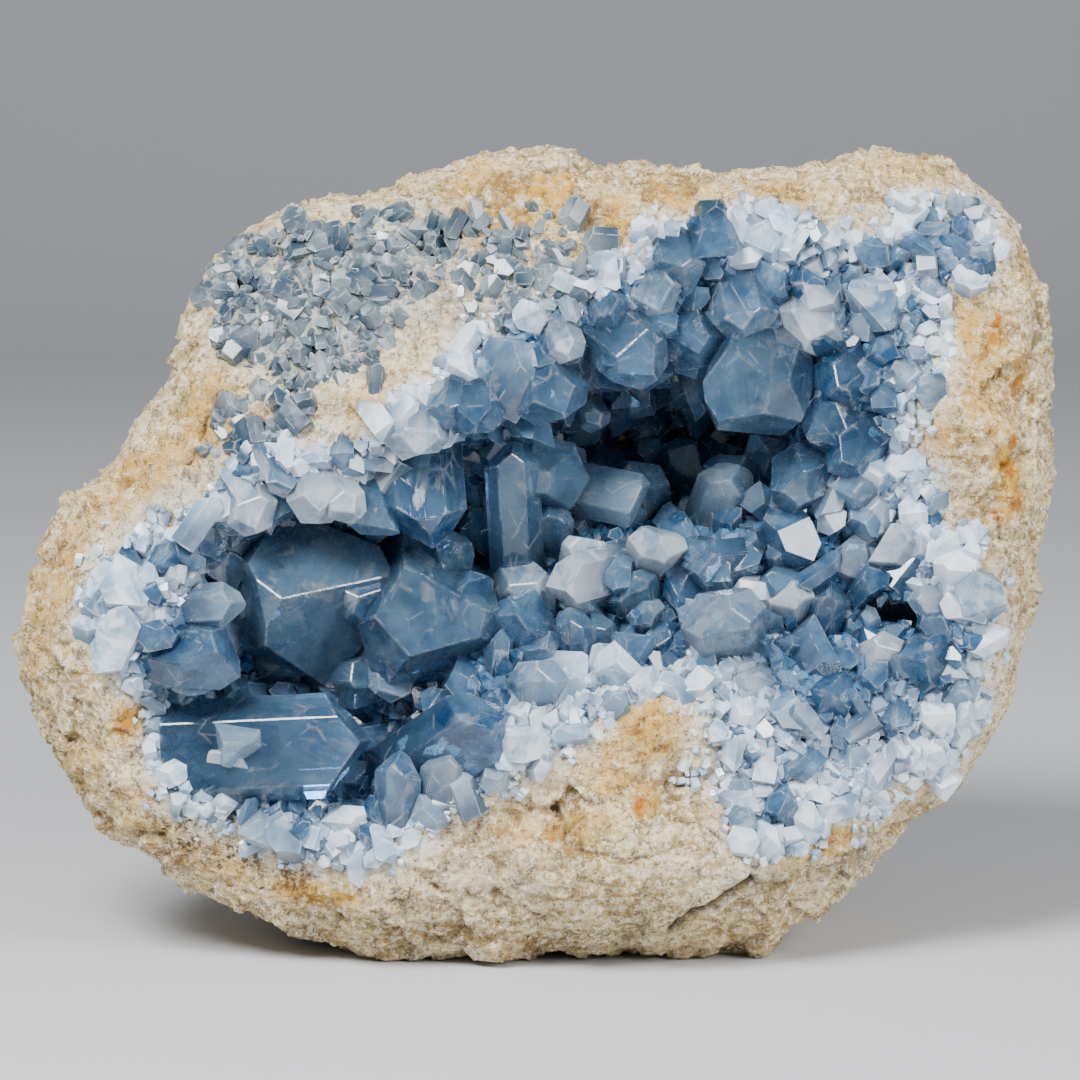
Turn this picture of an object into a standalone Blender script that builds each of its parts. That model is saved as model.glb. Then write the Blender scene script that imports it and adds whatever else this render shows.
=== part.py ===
"""Celestite geode: a broken-open limestone nodule lined with one crust of blue crystals.

Every point is first placed in three face coordinates, in millimetres. u runs to the right across
the open face, v runs up it and w runs straight into the rock. The face leans back by FACE_LEAN,
so to_world turns (u, v, w) into the part's own frame, in metres, with +Z up and the flat spot
that the rock rests on at z = 0.
"""

import math
import random

import bmesh
import bpy
import numpy as np
from mathutils import Vector, noise
from mathutils.bvhtree import BVHTree
from mathutils.geometry import delaunay_2d_cdt

MM = 0.001

# Driving dimensions of the rock, in millimetres and degrees
FACE_LEAN = math.radians(8.0)
FACE_CENTRE = (0.0, 62.0)
RIM_DEPTH = 20.0
BACK_DEPTH = 60.0
REST_LEVEL = -1.3
CENTRE_SHIFT = (-0.2, -46.0)
ROCK_SUBDIVISIONS = 5
ROCK_TRIANGLES = 2900

# The rock's outline seen square on to the open face, clockwise from the bottom
OUTLINE = [
    (-16.3, 0.2), (-22.6, 0.8), (-33.5, 3.9), (-46.0, 8.3), (-52.2, 11.9), (-57.7, 15.8),
    (-67.0, 20.0), (-72.5, 27.8), (-76.9, 34.0), (-79.5, 42.6), (-80.0, 51.2), (-78.4, 60.6),
    (-75.6, 68.4), (-71.7, 74.3), (-66.6, 76.5), (-64.4, 81.6), (-60.0, 87.6), (-55.6, 93.8),
    (-53.5, 99.6), (-52.8, 105.8), (-49.9, 110.5), (-44.4, 114.7), (-37.4, 118.2), (-24.1, 119.6),
    (-16.3, 124.1), (-10.1, 126.0), (1.2, 128.0), (8.7, 124.6), (16.5, 123.9), (25.1, 123.3),
    (39.9, 123.8), (46.1, 124.6), (52.1, 126.8), (58.9, 126.6), (64.9, 124.4), (70.3, 121.9),
    (73.4, 118.0), (77.3, 108.5), (79.8, 103.5), (80.2, 95.7), (78.9, 72.3), (77.3, 53.5),
    (76.1, 45.7), (74.2, 39.2), (70.3, 31.7), (66.7, 26.7), (57.8, 21.4), (49.2, 12.2),
    (38.3, 4.2), (32.1, 0.2), (16.5, 1.2), (0.9, 0.5),
]

# The hollow is a few overlapping pits: centre u, v, half width, half height, depth
HOLLOW_PITS = [
    (20.4, 80.0, 26.0, 17.0, 38.0),
    (-2.3, 69.0, 26.0, 18.0, 21.0),
    (-28.8, 56.7, 25.0, 20.0, 24.0),
    (-32.0, 41.0, 26.0, 18.0, 19.0),
    (10.0, 56.7, 30.0, 14.0, 16.0),
    (38.0, 67.6, 28.0, 28.0, 11.0),
    (47.7, 40.0, 22.0, 20.0, 3.0),
    (41.4, 98.8, 28.0, 17.0, 6.0),
    (54.0, 53.5, 10.0, 6.0, 9.0),
    (65.6, 112.9, 8.0, 5.0, 4.0),
]
PIT_BLEND = 2.5

# The shallow pocket at the upper left, in the same terms
POCKET_PITS = [
    (-42.0, 102.0, 11.0, 12.0, 3.0),
    (-29.0, 103.0, 12.0, 12.0, 3.0),
    (-16.5, 112.0, 7.0, 6.0, 5.0),
    (-34.0, 93.0, 12.0, 6.0, 2.5),
]

# Roundness of the rock's section: a high power is boxy, 2 is round. The foot widens towards the ground
FRONT_POWER = 5.5
SIDE_POWER = 2.15
FOOT_POWER = 2.4
BACK_POWER = 2.1
FOOT_GAIN = 1.4
FOOT_START = 0.2
BACK_BLEND = 1.6
# Directions, in radians, over which the outline is evened out for the back
OUTLINE_SPREAD = (-0.7, -0.45, -0.2, 0.0, 0.2, 0.45, 0.7)

# How the mesh is shared out between the front and the back
SECTION_STEPS = 2000
MEAN_RADIUS = 70.0
DENSE_TURN = math.pi * 0.55
BACK_DENSITY = 0.55

# Lumps, pits and broken plates of the rock's own surface
BULGE_SPAN = 52.0
BULGE_HEIGHT = 9.0
BULGE_PHASE = Vector((2.7, 8.1, 4.4))
LUMP_SPAN = 22.0
LUMP_HEIGHT = 3.0
KNOB_SPAN = 8.0
KNOB_HEIGHT = 1.2
KNOB_PHASE = Vector((7.1, 3.3, 9.7))
CHIP_SPAN = 19.0
CHIP_DEPTH = 4.0
CHIP_LEVEL = 0.35
CHIP_SIDE_SHARE = 0.35
LEDGE = (17.0, 15.5, 21.0, 10.0)
LEDGE_HEIGHT = 3.0
LEDGE_REACH = 1.15
LEDGE_SLOPE = 0.3
LEDGE_CRACK = ((19.0, 5.5), (34.0, 14.2))
CRACK_BLEND = 30.0

# Edge of the main crust, clockwise from its left end
CRUST_EDGE = [
    (-69.1, 55.0), (-67.8, 63.7), (-55.3, 69.2), (-47.8, 73.8), (-46.0, 79.3), (-36.6, 81.3),
    (-24.1, 80.0), (-21.3, 87.9), (-14.8, 90.2), (-10.1, 98.0), (4.0, 103.5), (12.6, 108.5),
    (16.5, 113.2), (32.1, 116.9), (44.6, 112.9), (52.4, 113.6), (59.4, 117.6), (67.2, 118.4),
    (71.4, 115.6), (71.2, 110.0), (63.3, 104.3), (62.5, 95.7), (57.8, 81.6), (61.7, 75.4),
    (68.8, 61.3), (71.4, 50.4), (68.9, 39.5), (64.6, 31.7), (49.2, 22.3), (32.9, 17.6),
    (28.2, 27.0), (24.3, 42.6), (18.0, 44.2), (4.0, 34.0), (-11.6, 25.4), (-21.0, 16.9),
    (-41.3, 18.9), (-56.9, 25.4), (-60.0, 41.1), (-65.0, 48.9),
]
POCKET_EDGE = [
    (-50.3, 107.4), (-46.0, 112.4), (-36.6, 115.0), (-17.9, 117.0), (-11.3, 115.5),
    (-10.4, 111.3), (-17.1, 104.3), (-21.8, 94.1), (-30.4, 88.7), (-39.7, 88.2),
    (-46.0, 94.1), (-50.3, 100.4),
]
CRUST_THICKNESS = 2.2
POCKET_THICKNESS = 1.3
CRUST_TRIANGLES = 6100
POCKET_TRIANGLES = 900
CRUST_SPACING = 6.5
POCKET_SPACING = 4.5
CRUST_ROOT = 4.0
EDGE_FADE = 3.5
EDGE_SINK = 0.8
SHEET_SEED = 3
SHEET_MARGIN = 0.55
SHEET_UNEVEN = (0.75, 1.4)
ROCK_GAP = 0.4
STEEPEST_WALL = 4.0
RAY_START = 60.0
SLOPE_STEP = 1.5

# Angles between a celestine crystal's long axis and the faces that close its tip
PRISM_TIP = math.radians(38.0)
DOME_TIP = math.radians(50.6)
SIDE_PRISM = math.radians(38.0)
CORNER_SHARE = 0.16
# No crystal is regular: each face lies nearer or farther than its place, by these shares
FLAT_UNEVEN = (0.85, 1.1)
SIDE_UNEVEN = (0.8, 1.14)
WEDGE_UNEVEN = (0.88, 1.02)
DOME_UNEVEN = (0.86, 1.08)
SAME_CORNER = 1e-5
PARALLEL = 1e-6

# How much of the ridge of its tip a crystal keeps between its two end faces
WEDGE, RIDGE, BLUNT, DOME = 1.0, 0.7, 0.15, 0.0

# The large crystals: tip u, v, w, then width, thickness, heading across the face, lean towards
# the viewer, turn about the long axis and kind of tip. Each reaches back to the wall it grew on
LARGE_CRYSTALS = [
    (-30.5, 57.8, 4.0, 22.5, 22.0, 12, 67, 0, RIDGE),
    (-23.8, 59.0, 5.0, 9.0, 8.0, 35, 60, 15, RIDGE),
    (-14.3, 48.3, 3.0, 19.5, 20.5, -75, 62, -90, RIDGE),
    (-8.0, 58.0, 5.5, 7.0, 7.0, 15, 55, 0, RIDGE),
    (-23.8, 35.3, 3.0, 15.4, 9.0, 3, 10, 0, WEDGE),
    (-49.0, 36.5, 0.5, 9.0, 7.0, 150, 46, 25, RIDGE),
    (-48.5, 29.5, 0.5, 8.0, 7.0, 215, 55, 0, RIDGE),
    (-46.3, 47.0, -3.0, 10.5, 9.0, -10, 42, 30, RIDGE),
    (-52.5, 44.5, -1.0, 8.0, 7.0, -110, 52, 0, RIDGE),
    (-45.1, 56.3, 1.5, 6.5, 5.0, 5, 28, 0, WEDGE),
    (-31.9, 69.0, -2.0, 8.0, 7.0, -75, 45, 20, BLUNT),
    (-27.0, 70.0, -2.5, 6.0, 6.0, -50, 45, 0, BLUNT),
    (-24.1, 66.7, 2.0, 7.0, 6.0, -75, 30, 20, DOME),
    (-16.0, 65.3, 3.0, 12.0, 8.0, -85, 25, 0, WEDGE),
    (-36.6, 70.0, 1.0, 7.0, 5.0, -60, 35, 0, DOME),
    (-41.6, 67.3, -2.0, 7.0, 6.0, -70, 45, 0, BLUNT),
    (-10.0, 64.8, 11.0, 8.0, 7.0, 30, 40, 20, BLUNT),
    (0.9, 60.6, 10.0, 9.0, 8.0, 50, 50, 0, BLUNT),
    (-0.7, 56.7, 6.0, 10.0, 8.0, 70, 40, 10, WEDGE),
    (-24.1, 44.2, 13.0, 9.0, 7.0, 0, 40, 20, WEDGE),
    (-19.4, 42.6, 10.0, 7.0, 6.0, -40, 48, 30, BLUNT),
    (-5.3, 40.0, -3.5, 13.0, 7.5, 36, 40, -10, RIDGE),
    (-20.4, 33.6, 0.0, 6.5, 6.0, 88, 22, 10, WEDGE),
    (-13.2, 34.0, 0.0, 6.0, 5.0, 80, 26, 0, WEDGE),
    (-3.7, 81.2, 7.5, 8.7, 5.5, 93, 24, 0, WEDGE),
    (5.5, 77.3, 9.0, 11.0, 10.0, 24, 60, 0, RIDGE),
    (10.2, 83.2, 16.0, 5.0, 4.0, -60, 45, 0, BLUNT),
    (18.0, 71.5, 12.0, 7.5, 5.0, -12, 30, 0, WEDGE),
    (14.9, 78.2, 20.0, 9.0, 8.0, 100, 45, 20, BLUNT),
    (25.8, 80.9, 28.0, 8.0, 7.0, 60, 40, 0, BLUNT),
    (31.3, 77.0, 14.0, 9.0, 7.0, 70, 40, 10, WEDGE),
    (2.7, 72.3, 13.0, 7.0, 6.0, 80, 40, 0, WEDGE),
    (2.7, 58.7, 6.0, 9.0, 6.0, 195, 40, 20, BLUNT),
    (7.9, 66.8, 9.0, 6.0, 5.0, 80, 50, 0, BLUNT),
    (19.4, 66.8, 7.0, 8.0, 7.0, 75, 62, 0, BLUNT),
    (14.1, 61.3, 9.0, 7.5, 6.0, 110, 45, 0, BLUNT),
    (25.4, 66.0, 8.0, 6.5, 6.0, 90, 62, 0, BLUNT),
    (23.3, 61.3, 8.0, 7.5, 5.0, 185, 30, 20, WEDGE),
    (17.2, 56.7, 9.0, 6.0, 5.5, 90, 62, 0, BLUNT),
    (28.5, 57.3, -1.0, 12.0, 8.0, 102, 60, 5, BLUNT),
    (6.0, 55.7, 6.0, 5.5, 5.0, 93, 30, 0, WEDGE),
    (0.9, 48.0, -4.0, 8.5, 6.0, 92, 46, 0, BLUNT),
    (9.0, 53.6, 9.0, 5.0, 4.0, 110, 40, 0, WEDGE),
    (15.3, 52.3, 5.0, 5.5, 4.5, 84, 42, 0, DOME),
    (4.8, 84.0, -4.0, 11.0, 8.0, -60, 40, 10, BLUNT),
    (18.3, 91.3, -3.0, 10.0, 8.0, -42, 38, 10, BLUNT),
    (14.9, 90.2, -2.0, 7.0, 6.0, -65, 40, 0, WEDGE),
    (24.6, 92.9, 2.0, 10.0, 7.0, -75, 46, 0, BLUNT),
    (32.0, 84.3, -3.0, 15.0, 13.0, -112, 50, 52, RIDGE),
    (32.9, 96.8, 0.0, 9.0, 6.0, -80, 45, 0, BLUNT),
    (5.5, 92.9, -3.0, 6.0, 5.0, -70, 50, 0, BLUNT),
    (12.3, 98.8, -1.0, 6.5, 5.0, -60, 46, 0, WEDGE),
    (18.8, 100.7, 0.0, 8.0, 6.0, -75, 50, 0, BLUNT),
    (27.7, 109.4, 2.0, 6.0, 5.0, -85, 45, 0, DOME),
    (22.7, 104.7, 1.0, 8.0, 6.0, -80, 45, 0, WEDGE),
    (-8.8, 82.6, -4.0, 8.0, 7.0, -88, 46, 0, BLUNT),
    (-12.8, 84.0, -4.0, 6.0, 5.0, -100, 46, 0, WEDGE),
    (-17.6, 78.5, -3.0, 8.0, 6.0, -95, 38, 0, BLUNT),
    (41.4, 95.7, 3.0, 10.0, 6.0, -100, 50, 10, BLUNT),
    (41.4, 100.7, 4.0, 8.0, 5.0, -120, 52, 0, BLUNT),
    (43.8, 87.9, 4.0, 8.0, 7.0, -140, 42, 0, WEDGE),
    (49.2, 88.7, 5.0, 7.0, 6.0, -120, 50, 0, BLUNT),
    (56.6, 90.2, 4.0, 4.5, 4.5, -90, 65, 0, BLUNT),
    (41.4, 81.6, 4.0, 9.0, 7.0, -150, 42, 10, BLUNT),
    (45.3, 77.3, 4.0, 8.5, 4.5, -142, 34, 0, WEDGE),
    (26.6, 77.0, 17.0, 8.0, 7.0, 150, 36, 10, BLUNT),
    (36.6, 73.8, 5.0, 9.5, 8.0, 200, 42, 25, BLUNT),
    (45.8, 73.2, 6.0, 7.5, 6.0, 190, 45, 30, WEDGE),
    (49.4, 69.5, 7.0, 8.0, 6.0, 175, 50, 0, BLUNT),
    (53.3, 65.6, 7.5, 7.0, 5.5, 160, 45, 15, DOME),
    (47.2, 65.2, 7.5, 7.5, 6.0, 130, 50, 0, BLUNT),
    (38.8, 59.8, 6.0, 8.0, 6.0, 95, 52, 20, BLUNT),
    (39.3, 68.1, 8.5, 5.5, 4.5, 130, 52, 0, WEDGE),
    (37.8, 66.5, 9.0, 6.5, 5.0, 100, 46, 0, WEDGE),
    (45.5, 59.4, 7.5, 6.0, 5.0, 82, 32, 0, WEDGE),
    (57.3, 56.5, 5.5, 5.0, 4.0, 180, 26, 0, WEDGE),
    (52.3, 50.2, 5.5, 7.5, 6.0, 120, 60, 0, BLUNT),
    (57.2, 48.0, 3.5, 9.0, 5.5, 168, 50, 0, WEDGE),
    (58.2, 40.3, 7.0, 5.5, 4.5, 130, 55, 0, DOME),
]
LARGE_ROOT = 3.0
LARGE_SEED = 11
TIP_SHARE = 0.97
LONGEST_REACH = 20.0
LARGE_ROOM_SHARE = 0.42

# Small crystals that fill the rest of each crust
SMALL_SEED = 11
SMALL_COUNT = 130
SMALL_LENGTH = (6.0, 10.5)
POCKET_SEED = 5
POCKET_COUNT = 36
POCKET_LENGTH = (4.0, 7.5)
SMALL_ROOM = 4.0
POCKET_ROOM = 3.2
RIM_BAND = 9.0
RIM_SHORTER = 0.25
SMALL_WIDTH = (0.45, 0.75)
SMALL_THICKNESS = (0.5, 0.9)
SMALL_TURN = 0.7
SMALL_LEAN = (0.55, 1.2)
SMALL_SUNK = (0.52, 0.34)
EDGE_ROOM_SHARE = 0.45
TRIES_PER_CRYSTAL = 60
WALL_STEP = 3.0


def to_world(u, v, w):
    """Turn face coordinates in millimetres into the part's frame in metres."""
    y = w * math.cos(FACE_LEAN) + v * math.sin(FACE_LEAN) + CENTRE_SHIFT[1]
    z = v * math.cos(FACE_LEAN) - w * math.sin(FACE_LEAN) - REST_LEVEL
    return Vector(((u + CENTRE_SHIFT[0]) * MM, y * MM, z * MM))


def outline_radius(theta):
    """Distance from the face's centre to the outline in the direction theta."""
    offsets = [(u - FACE_CENTRE[0], v - FACE_CENTRE[1]) for u, v in OUTLINE]
    angles = [math.atan2(v, u) for u, v in offsets]
    radii = [math.hypot(u, v) for u, v in offsets]
    order = np.argsort(angles)
    return float(np.interp(theta, np.array(angles)[order], np.array(radii)[order],
                           period=2 * math.pi))


def soft_radius(theta):
    """The outline with its notches evened out, which the back of the nodule follows."""
    return sum(outline_radius(theta + step) for step in OUTLINE_SPREAD) / len(OUTLINE_SPREAD)


def smooth_step(value):
    """Ease from 0 to 1 as value runs from 0 to 1."""
    value = min(max(value, 0.0), 1.0)
    return value * value * (3 - 2 * value)


def pit_depth(pits, u, v):
    """Blend the pits that overlap at (u, v) into one smooth depth."""
    total = 1.0
    for centre_u, centre_v, half_u, half_v, depth in pits:
        radius = math.hypot((u - centre_u) / half_u, (v - centre_v) / half_v)
        total += math.exp(min(depth * (1 - radius ** 3.5), depth) / PIT_BLEND)
    return PIT_BLEND * math.log(total)


def ledge_height(u, v):
    """The broken plate at the bottom of the face, which ends sharply at its crack."""
    centre_u, centre_v, half_u, half_v = LEDGE
    radius = math.hypot((u - centre_u) / half_u, (v - centre_v) / half_v)
    (start_u, start_v), (end_u, end_v) = LEDGE_CRACK
    side = (end_u - start_u) * (v - start_v) - (end_v - start_v) * (u - start_u)
    above_crack = smooth_step(side / CRACK_BLEND + 0.5)
    return LEDGE_HEIGHT * smooth_step((LEDGE_REACH - radius) / LEDGE_SLOPE) * above_crack


def profile(turn, theta):
    """Radius share and depth of the rock's section: turn 0 is the front, pi is the back."""
    if turn < math.pi / 2:
        return math.sin(turn) ** (2 / FRONT_POWER), RIM_DEPTH * (1 - math.cos(turn))
    low = smooth_step(-math.sin(theta) * FOOT_GAIN - FOOT_START)
    share = math.sin(turn) ** (2 / (SIDE_POWER + FOOT_POWER * low))
    return share, RIM_DEPTH + BACK_DEPTH * abs(math.cos(turn)) ** (2 / BACK_POWER)


def turn_table():
    """Spread the mesh's rings evenly over the rock, denser in front than at the back."""
    turns = np.linspace(1e-4, math.pi - 1e-4, SECTION_STEPS)
    section = np.array([profile(turn, 0.0) for turn in turns])
    radius = section[:, 0] * MEAN_RADIUS
    depth = section[:, 1]
    steps = np.hypot(np.diff(radius), np.diff(depth))
    weight = np.where(turns[1:] < DENSE_TURN, 1.0, BACK_DENSITY)
    area = np.concatenate(([0.0], np.cumsum(steps * radius[1:] * weight)))
    return turns, area / area[-1]


def rock_point(direction, turns, covered):
    """Place one point of the rock from its direction on a unit sphere."""
    theta = math.atan2(direction.z, direction.x)
    polar = math.acos(max(-1.0, min(1.0, -direction.y)))
    turn = float(np.interp((1 - math.cos(polar)) / 2, covered, turns))
    share, depth = profile(turn, theta)
    behind = smooth_step((turn / (math.pi / 2) - 1) * BACK_BLEND)
    radius = outline_radius(theta) * (1 - behind) + soft_radius(theta) * behind
    radius *= share
    u = FACE_CENTRE[0] + radius * math.cos(theta)
    v = FACE_CENTRE[1] + radius * math.sin(theta)
    spot = Vector((u, v, depth))
    facing = abs(math.cos(turn))
    swell = noise.noise(spot / LUMP_SPAN) * LUMP_HEIGHT * facing
    swell += noise.noise(spot / BULGE_SPAN + BULGE_PHASE) * BULGE_HEIGHT * behind
    swell += noise.noise(spot / KNOB_SPAN + KNOB_PHASE) * KNOB_HEIGHT
    nearest = noise.voronoi(spot / CHIP_SPAN)[0][0]
    front_share = CHIP_SIDE_SHARE + (1 - CHIP_SIDE_SHARE) * facing
    swell += (CHIP_LEVEL - nearest) * CHIP_DEPTH * front_share
    u += swell * math.sin(turn) * math.cos(theta)
    v += swell * math.sin(turn) * math.sin(theta)
    depth -= swell * math.cos(turn)
    if turn < math.pi / 2:
        depth += pit_depth(HOLLOW_PITS, u, v) + pit_depth(POCKET_PITS, u, v)
        depth -= ledge_height(u, v)
    return to_world(u, v, depth)


def new_material(name, colour, roughness, transmission=0.0, ior=1.5):
    """One Principled material."""
    material = bpy.data.materials.new(name)
    material.use_nodes = True
    shader = material.node_tree.nodes["Principled BSDF"]
    shader.inputs["Base Color"].default_value = (*colour, 1.0)
    shader.inputs["Roughness"].default_value = roughness
    shader.inputs["Metallic"].default_value = 0.0
    shader.inputs["Transmission Weight"].default_value = transmission
    shader.inputs["IOR"].default_value = ior
    return material


def add_object(name, mesh, material=None):
    """Put a mesh in the scene as a named object."""
    obj = bpy.data.objects.new(name, mesh)
    bpy.context.scene.collection.objects.link(obj)
    if material:
        mesh.materials.append(material)
    return obj


def settled_mesh(obj):
    """The object's mesh with its modifiers worked in."""
    depsgraph = bpy.context.evaluated_depsgraph_get()
    return bpy.data.meshes.new_from_object(obj.evaluated_get(depsgraph), depsgraph=depsgraph)


def make_rock():
    """The nodule: a shaped ball with the hollow sunk in its face and its underside cut flat."""
    bm = bmesh.new()
    bmesh.ops.create_icosphere(bm, subdivisions=ROCK_SUBDIVISIONS, radius=1.0)
    turns, covered = turn_table()
    for vert in bm.verts:
        vert.co = rock_point(vert.co.normalized(), turns, covered)
    mesh = bpy.data.meshes.new("rock_matrix")
    bm.to_mesh(mesh)
    bm.free()
    rock = add_object("rock_matrix", mesh)
    thinner = rock.modifiers.new("fewer faces", "DECIMATE")
    thinner.ratio = ROCK_TRIANGLES / len(mesh.polygons)
    thinned = settled_mesh(rock)
    rock.modifiers.clear()

    bm = bmesh.new()
    bm.from_mesh(thinned)
    everything = list(bm.verts) + list(bm.edges) + list(bm.faces)
    cut = bmesh.ops.bisect_plane(bm, geom=everything, plane_co=(0, 0, 0), plane_no=(0, 0, 1),
                                 clear_inner=True, dist=1e-6)
    rim = [item for item in cut["geom_cut"] if isinstance(item, bmesh.types.BMEdge)]
    bmesh.ops.contextual_create(bm, geom=rim)
    bmesh.ops.recalc_face_normals(bm, faces=bm.faces)
    bmesh.ops.triangulate(bm, faces=bm.faces)
    bm.to_mesh(mesh)
    bm.free()
    mesh.materials.append(new_material("weathered limestone", (0.66, 0.54, 0.36), 0.9))
    return rock


class RockSurface:
    """Reads where the rock's surface lies, straight behind the open face or along any line."""

    def __init__(self, rock):
        bm = bmesh.new()
        bm.from_mesh(rock.data)
        self.tree = BVHTree.FromBMesh(bm)
        bm.free()
        self.inward = (to_world(0, 0, 1) - to_world(0, 0, 0)).normalized()

    def depth(self, u, v):
        start = to_world(u, v, -RAY_START)
        hit = self.tree.ray_cast(start, self.inward)[0]
        if hit is None:
            return RIM_DEPTH
        return (hit - start).length / MM - RAY_START

    def steepness(self, u, v):
        step = SLOPE_STEP
        slope_u = (self.depth(u + step, v) - self.depth(u - step, v)) / (2 * step)
        slope_v = (self.depth(u, v + step) - self.depth(u, v - step)) / (2 * step)
        return math.sqrt(1 + slope_u ** 2 + slope_v ** 2)

    def reach_behind(self, tip, long_axis):
        """How far behind its tip a crystal meets the wall."""
        start = to_world(*tip)
        back = to_world(*(tip - long_axis)) - start
        hit = self.tree.ray_cast(start, back.normalized())[0]
        return LONGEST_REACH if hit is None else (hit - start).length / MM


def inside(edge, u, v):
    """True where (u, v) lies inside the closed edge."""
    count = 0
    for (u0, v0), (u1, v1) in zip(edge, edge[1:] + edge[:1]):
        if (v0 > v) != (v1 > v) and u < u0 + (v - v0) * (u1 - u0) / (v1 - v0):
            count += 1
    return count % 2 == 1


def edge_distance(edge, u, v):
    """Distance from (u, v) to the closed edge."""
    nearest = 1e9
    for (u0, v0), (u1, v1) in zip(edge, edge[1:] + edge[:1]):
        run_u, run_v = u1 - u0, v1 - v0
        along = ((u - u0) * run_u + (v - v0) * run_v) / (run_u ** 2 + run_v ** 2)
        along = min(max(along, 0.0), 1.0)
        nearest = min(nearest, math.hypot(u - u0 - along * run_u, v - v0 - along * run_v))
    return nearest


def add_sheet(bm, edge, surface, thickness, spacing):
    """The grown-together base of a crust: a thick sheet that follows the hollow."""
    points = [Vector(point) for point in edge]
    low_u = min(u for u, v in edge)
    low_v = min(v for u, v in edge)
    columns = int((max(u for u, v in edge) - low_u) / spacing) + 2
    rows = int((max(v for u, v in edge) - low_v) / spacing) + 2
    for row in range(rows):
        for column in range(columns):
            u = low_u + (column + 0.5 * (row % 2)) * spacing
            v = low_v + row * spacing * math.sqrt(0.75)
            if inside(edge, u, v) and edge_distance(edge, u, v) > spacing * SHEET_MARGIN:
                points.append(Vector((u, v)))
    rim = [(i, (i + 1) % len(edge)) for i in range(len(edge))]
    filled = delaunay_2d_cdt(points, rim, [], 1, 1e-5)
    spots, triangles = filled[0], filled[2]

    front, back = [], []
    rng = random.Random(SHEET_SEED)
    for spot in spots:
        depth = surface.depth(spot.x, spot.y)
        steep = min(surface.steepness(spot.x, spot.y), STEEPEST_WALL)
        share = smooth_step(edge_distance(edge, spot.x, spot.y) / EDGE_FADE)
        rise = thickness * rng.uniform(*SHEET_UNEVEN) * steep * share - EDGE_SINK * (1 - share)
        front.append(bm.verts.new(to_world(spot.x, spot.y, depth - rise)))
        back.append(bm.verts.new(to_world(spot.x, spot.y, depth + CRUST_ROOT)))
    sides = {}
    for triangle in triangles:
        bm.faces.new([front[i] for i in triangle])
        bm.faces.new([back[i] for i in reversed(triangle)])
        for a, b in zip(triangle, list(triangle[1:]) + [triangle[0]]):
            if sides.pop((b, a), None) is None:
                sides[(a, b)] = True
    for a, b in sides:
        bm.faces.new([front[b], front[a], back[a], back[b]])


def crystal_planes(length, width, thickness, tip, rng):
    """The flat faces of one celestine crystal as (normal, distance) pairs."""
    planes = [((-1, 0, 0), 0.0)]
    side_reach = 0.5 * width * math.cos(SIDE_PRISM) + CORNER_SHARE * thickness * math.sin(SIDE_PRISM)
    for up in (-1, 1):
        planes.append(((0, 0, up), thickness / 2 * rng.uniform(*FLAT_UNEVEN)))
        for side in (-1, 1):
            normal = (0, side * math.cos(SIDE_PRISM), up * math.sin(SIDE_PRISM))
            planes.append((normal, side_reach * rng.uniform(*SIDE_UNEVEN)))
    for side in (-1, 1):
        if tip > DOME:
            reach = length * math.cos(PRISM_TIP) * rng.uniform(*WEDGE_UNEVEN)
            planes.append(((math.cos(PRISM_TIP), side * math.sin(PRISM_TIP), 0), reach))
        if tip < WEDGE:
            reach = length * math.cos(DOME_TIP) + tip * 0.5 * thickness * math.sin(DOME_TIP)
            reach *= rng.uniform(*DOME_UNEVEN)
            planes.append(((math.cos(DOME_TIP), 0, side * math.sin(DOME_TIP)), reach))
    return planes


def long_direction(heading, lean):
    """The direction in face coordinates that a crystal grew in."""
    return Vector((math.cos(lean) * math.cos(heading), math.cos(lean) * math.sin(heading), -math.sin(lean)))


def add_crystal(bm, root, heading, lean, roll, size, tip, rng):
    """One crystal: the solid that its flat faces enclose, set on its root."""
    long_axis = long_direction(heading, lean)
    across = Vector((-math.sin(heading), math.cos(heading), 0))
    third = long_axis.cross(across)
    wide = across * math.cos(roll) + third * math.sin(roll)
    thin = long_axis.cross(wide)
    planes = crystal_planes(*size, tip, rng)
    normals = np.array([plane[0] for plane in planes], dtype=float)
    reaches = np.array([plane[1] for plane in planes], dtype=float)

    corners, touching = [], []
    count = len(planes)
    for i in range(count):
        for j in range(i + 1, count):
            for k in range(j + 1, count):
                three = normals[[i, j, k]]
                if abs(np.linalg.det(three)) < PARALLEL:
                    continue
                corner = np.linalg.solve(three, reaches[[i, j, k]])
                if np.any(normals @ corner > reaches + PARALLEL):
                    continue
                known = [n for n, other in enumerate(corners) if np.abs(other - corner).max() < SAME_CORNER]
                if known:
                    touching[known[0]].update((i, j, k))
                else:
                    corners.append(corner)
                    touching.append({i, j, k})
    verts = []
    for corner in corners:
        spot = root + long_axis * corner[0] + wide * corner[1] + thin * corner[2]
        verts.append(bm.verts.new(to_world(spot.x, spot.y, spot.z)))
    for i in range(count):
        ring = [n for n, planes_here in enumerate(touching) if i in planes_here]
        if len(ring) < 3:
            continue
        normal = Vector(normals[i])
        first = Vector(corners[ring[0]])
        middle = sum((Vector(corners[n]) for n in ring), Vector()) / len(ring)
        ahead = (first - middle).normalized()
        beside = normal.cross(ahead)
        ring.sort(key=lambda n: math.atan2((Vector(corners[n]) - middle).dot(beside),
                                           (Vector(corners[n]) - middle).dot(ahead)))
        bm.faces.new([verts[n] for n in ring])


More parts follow.
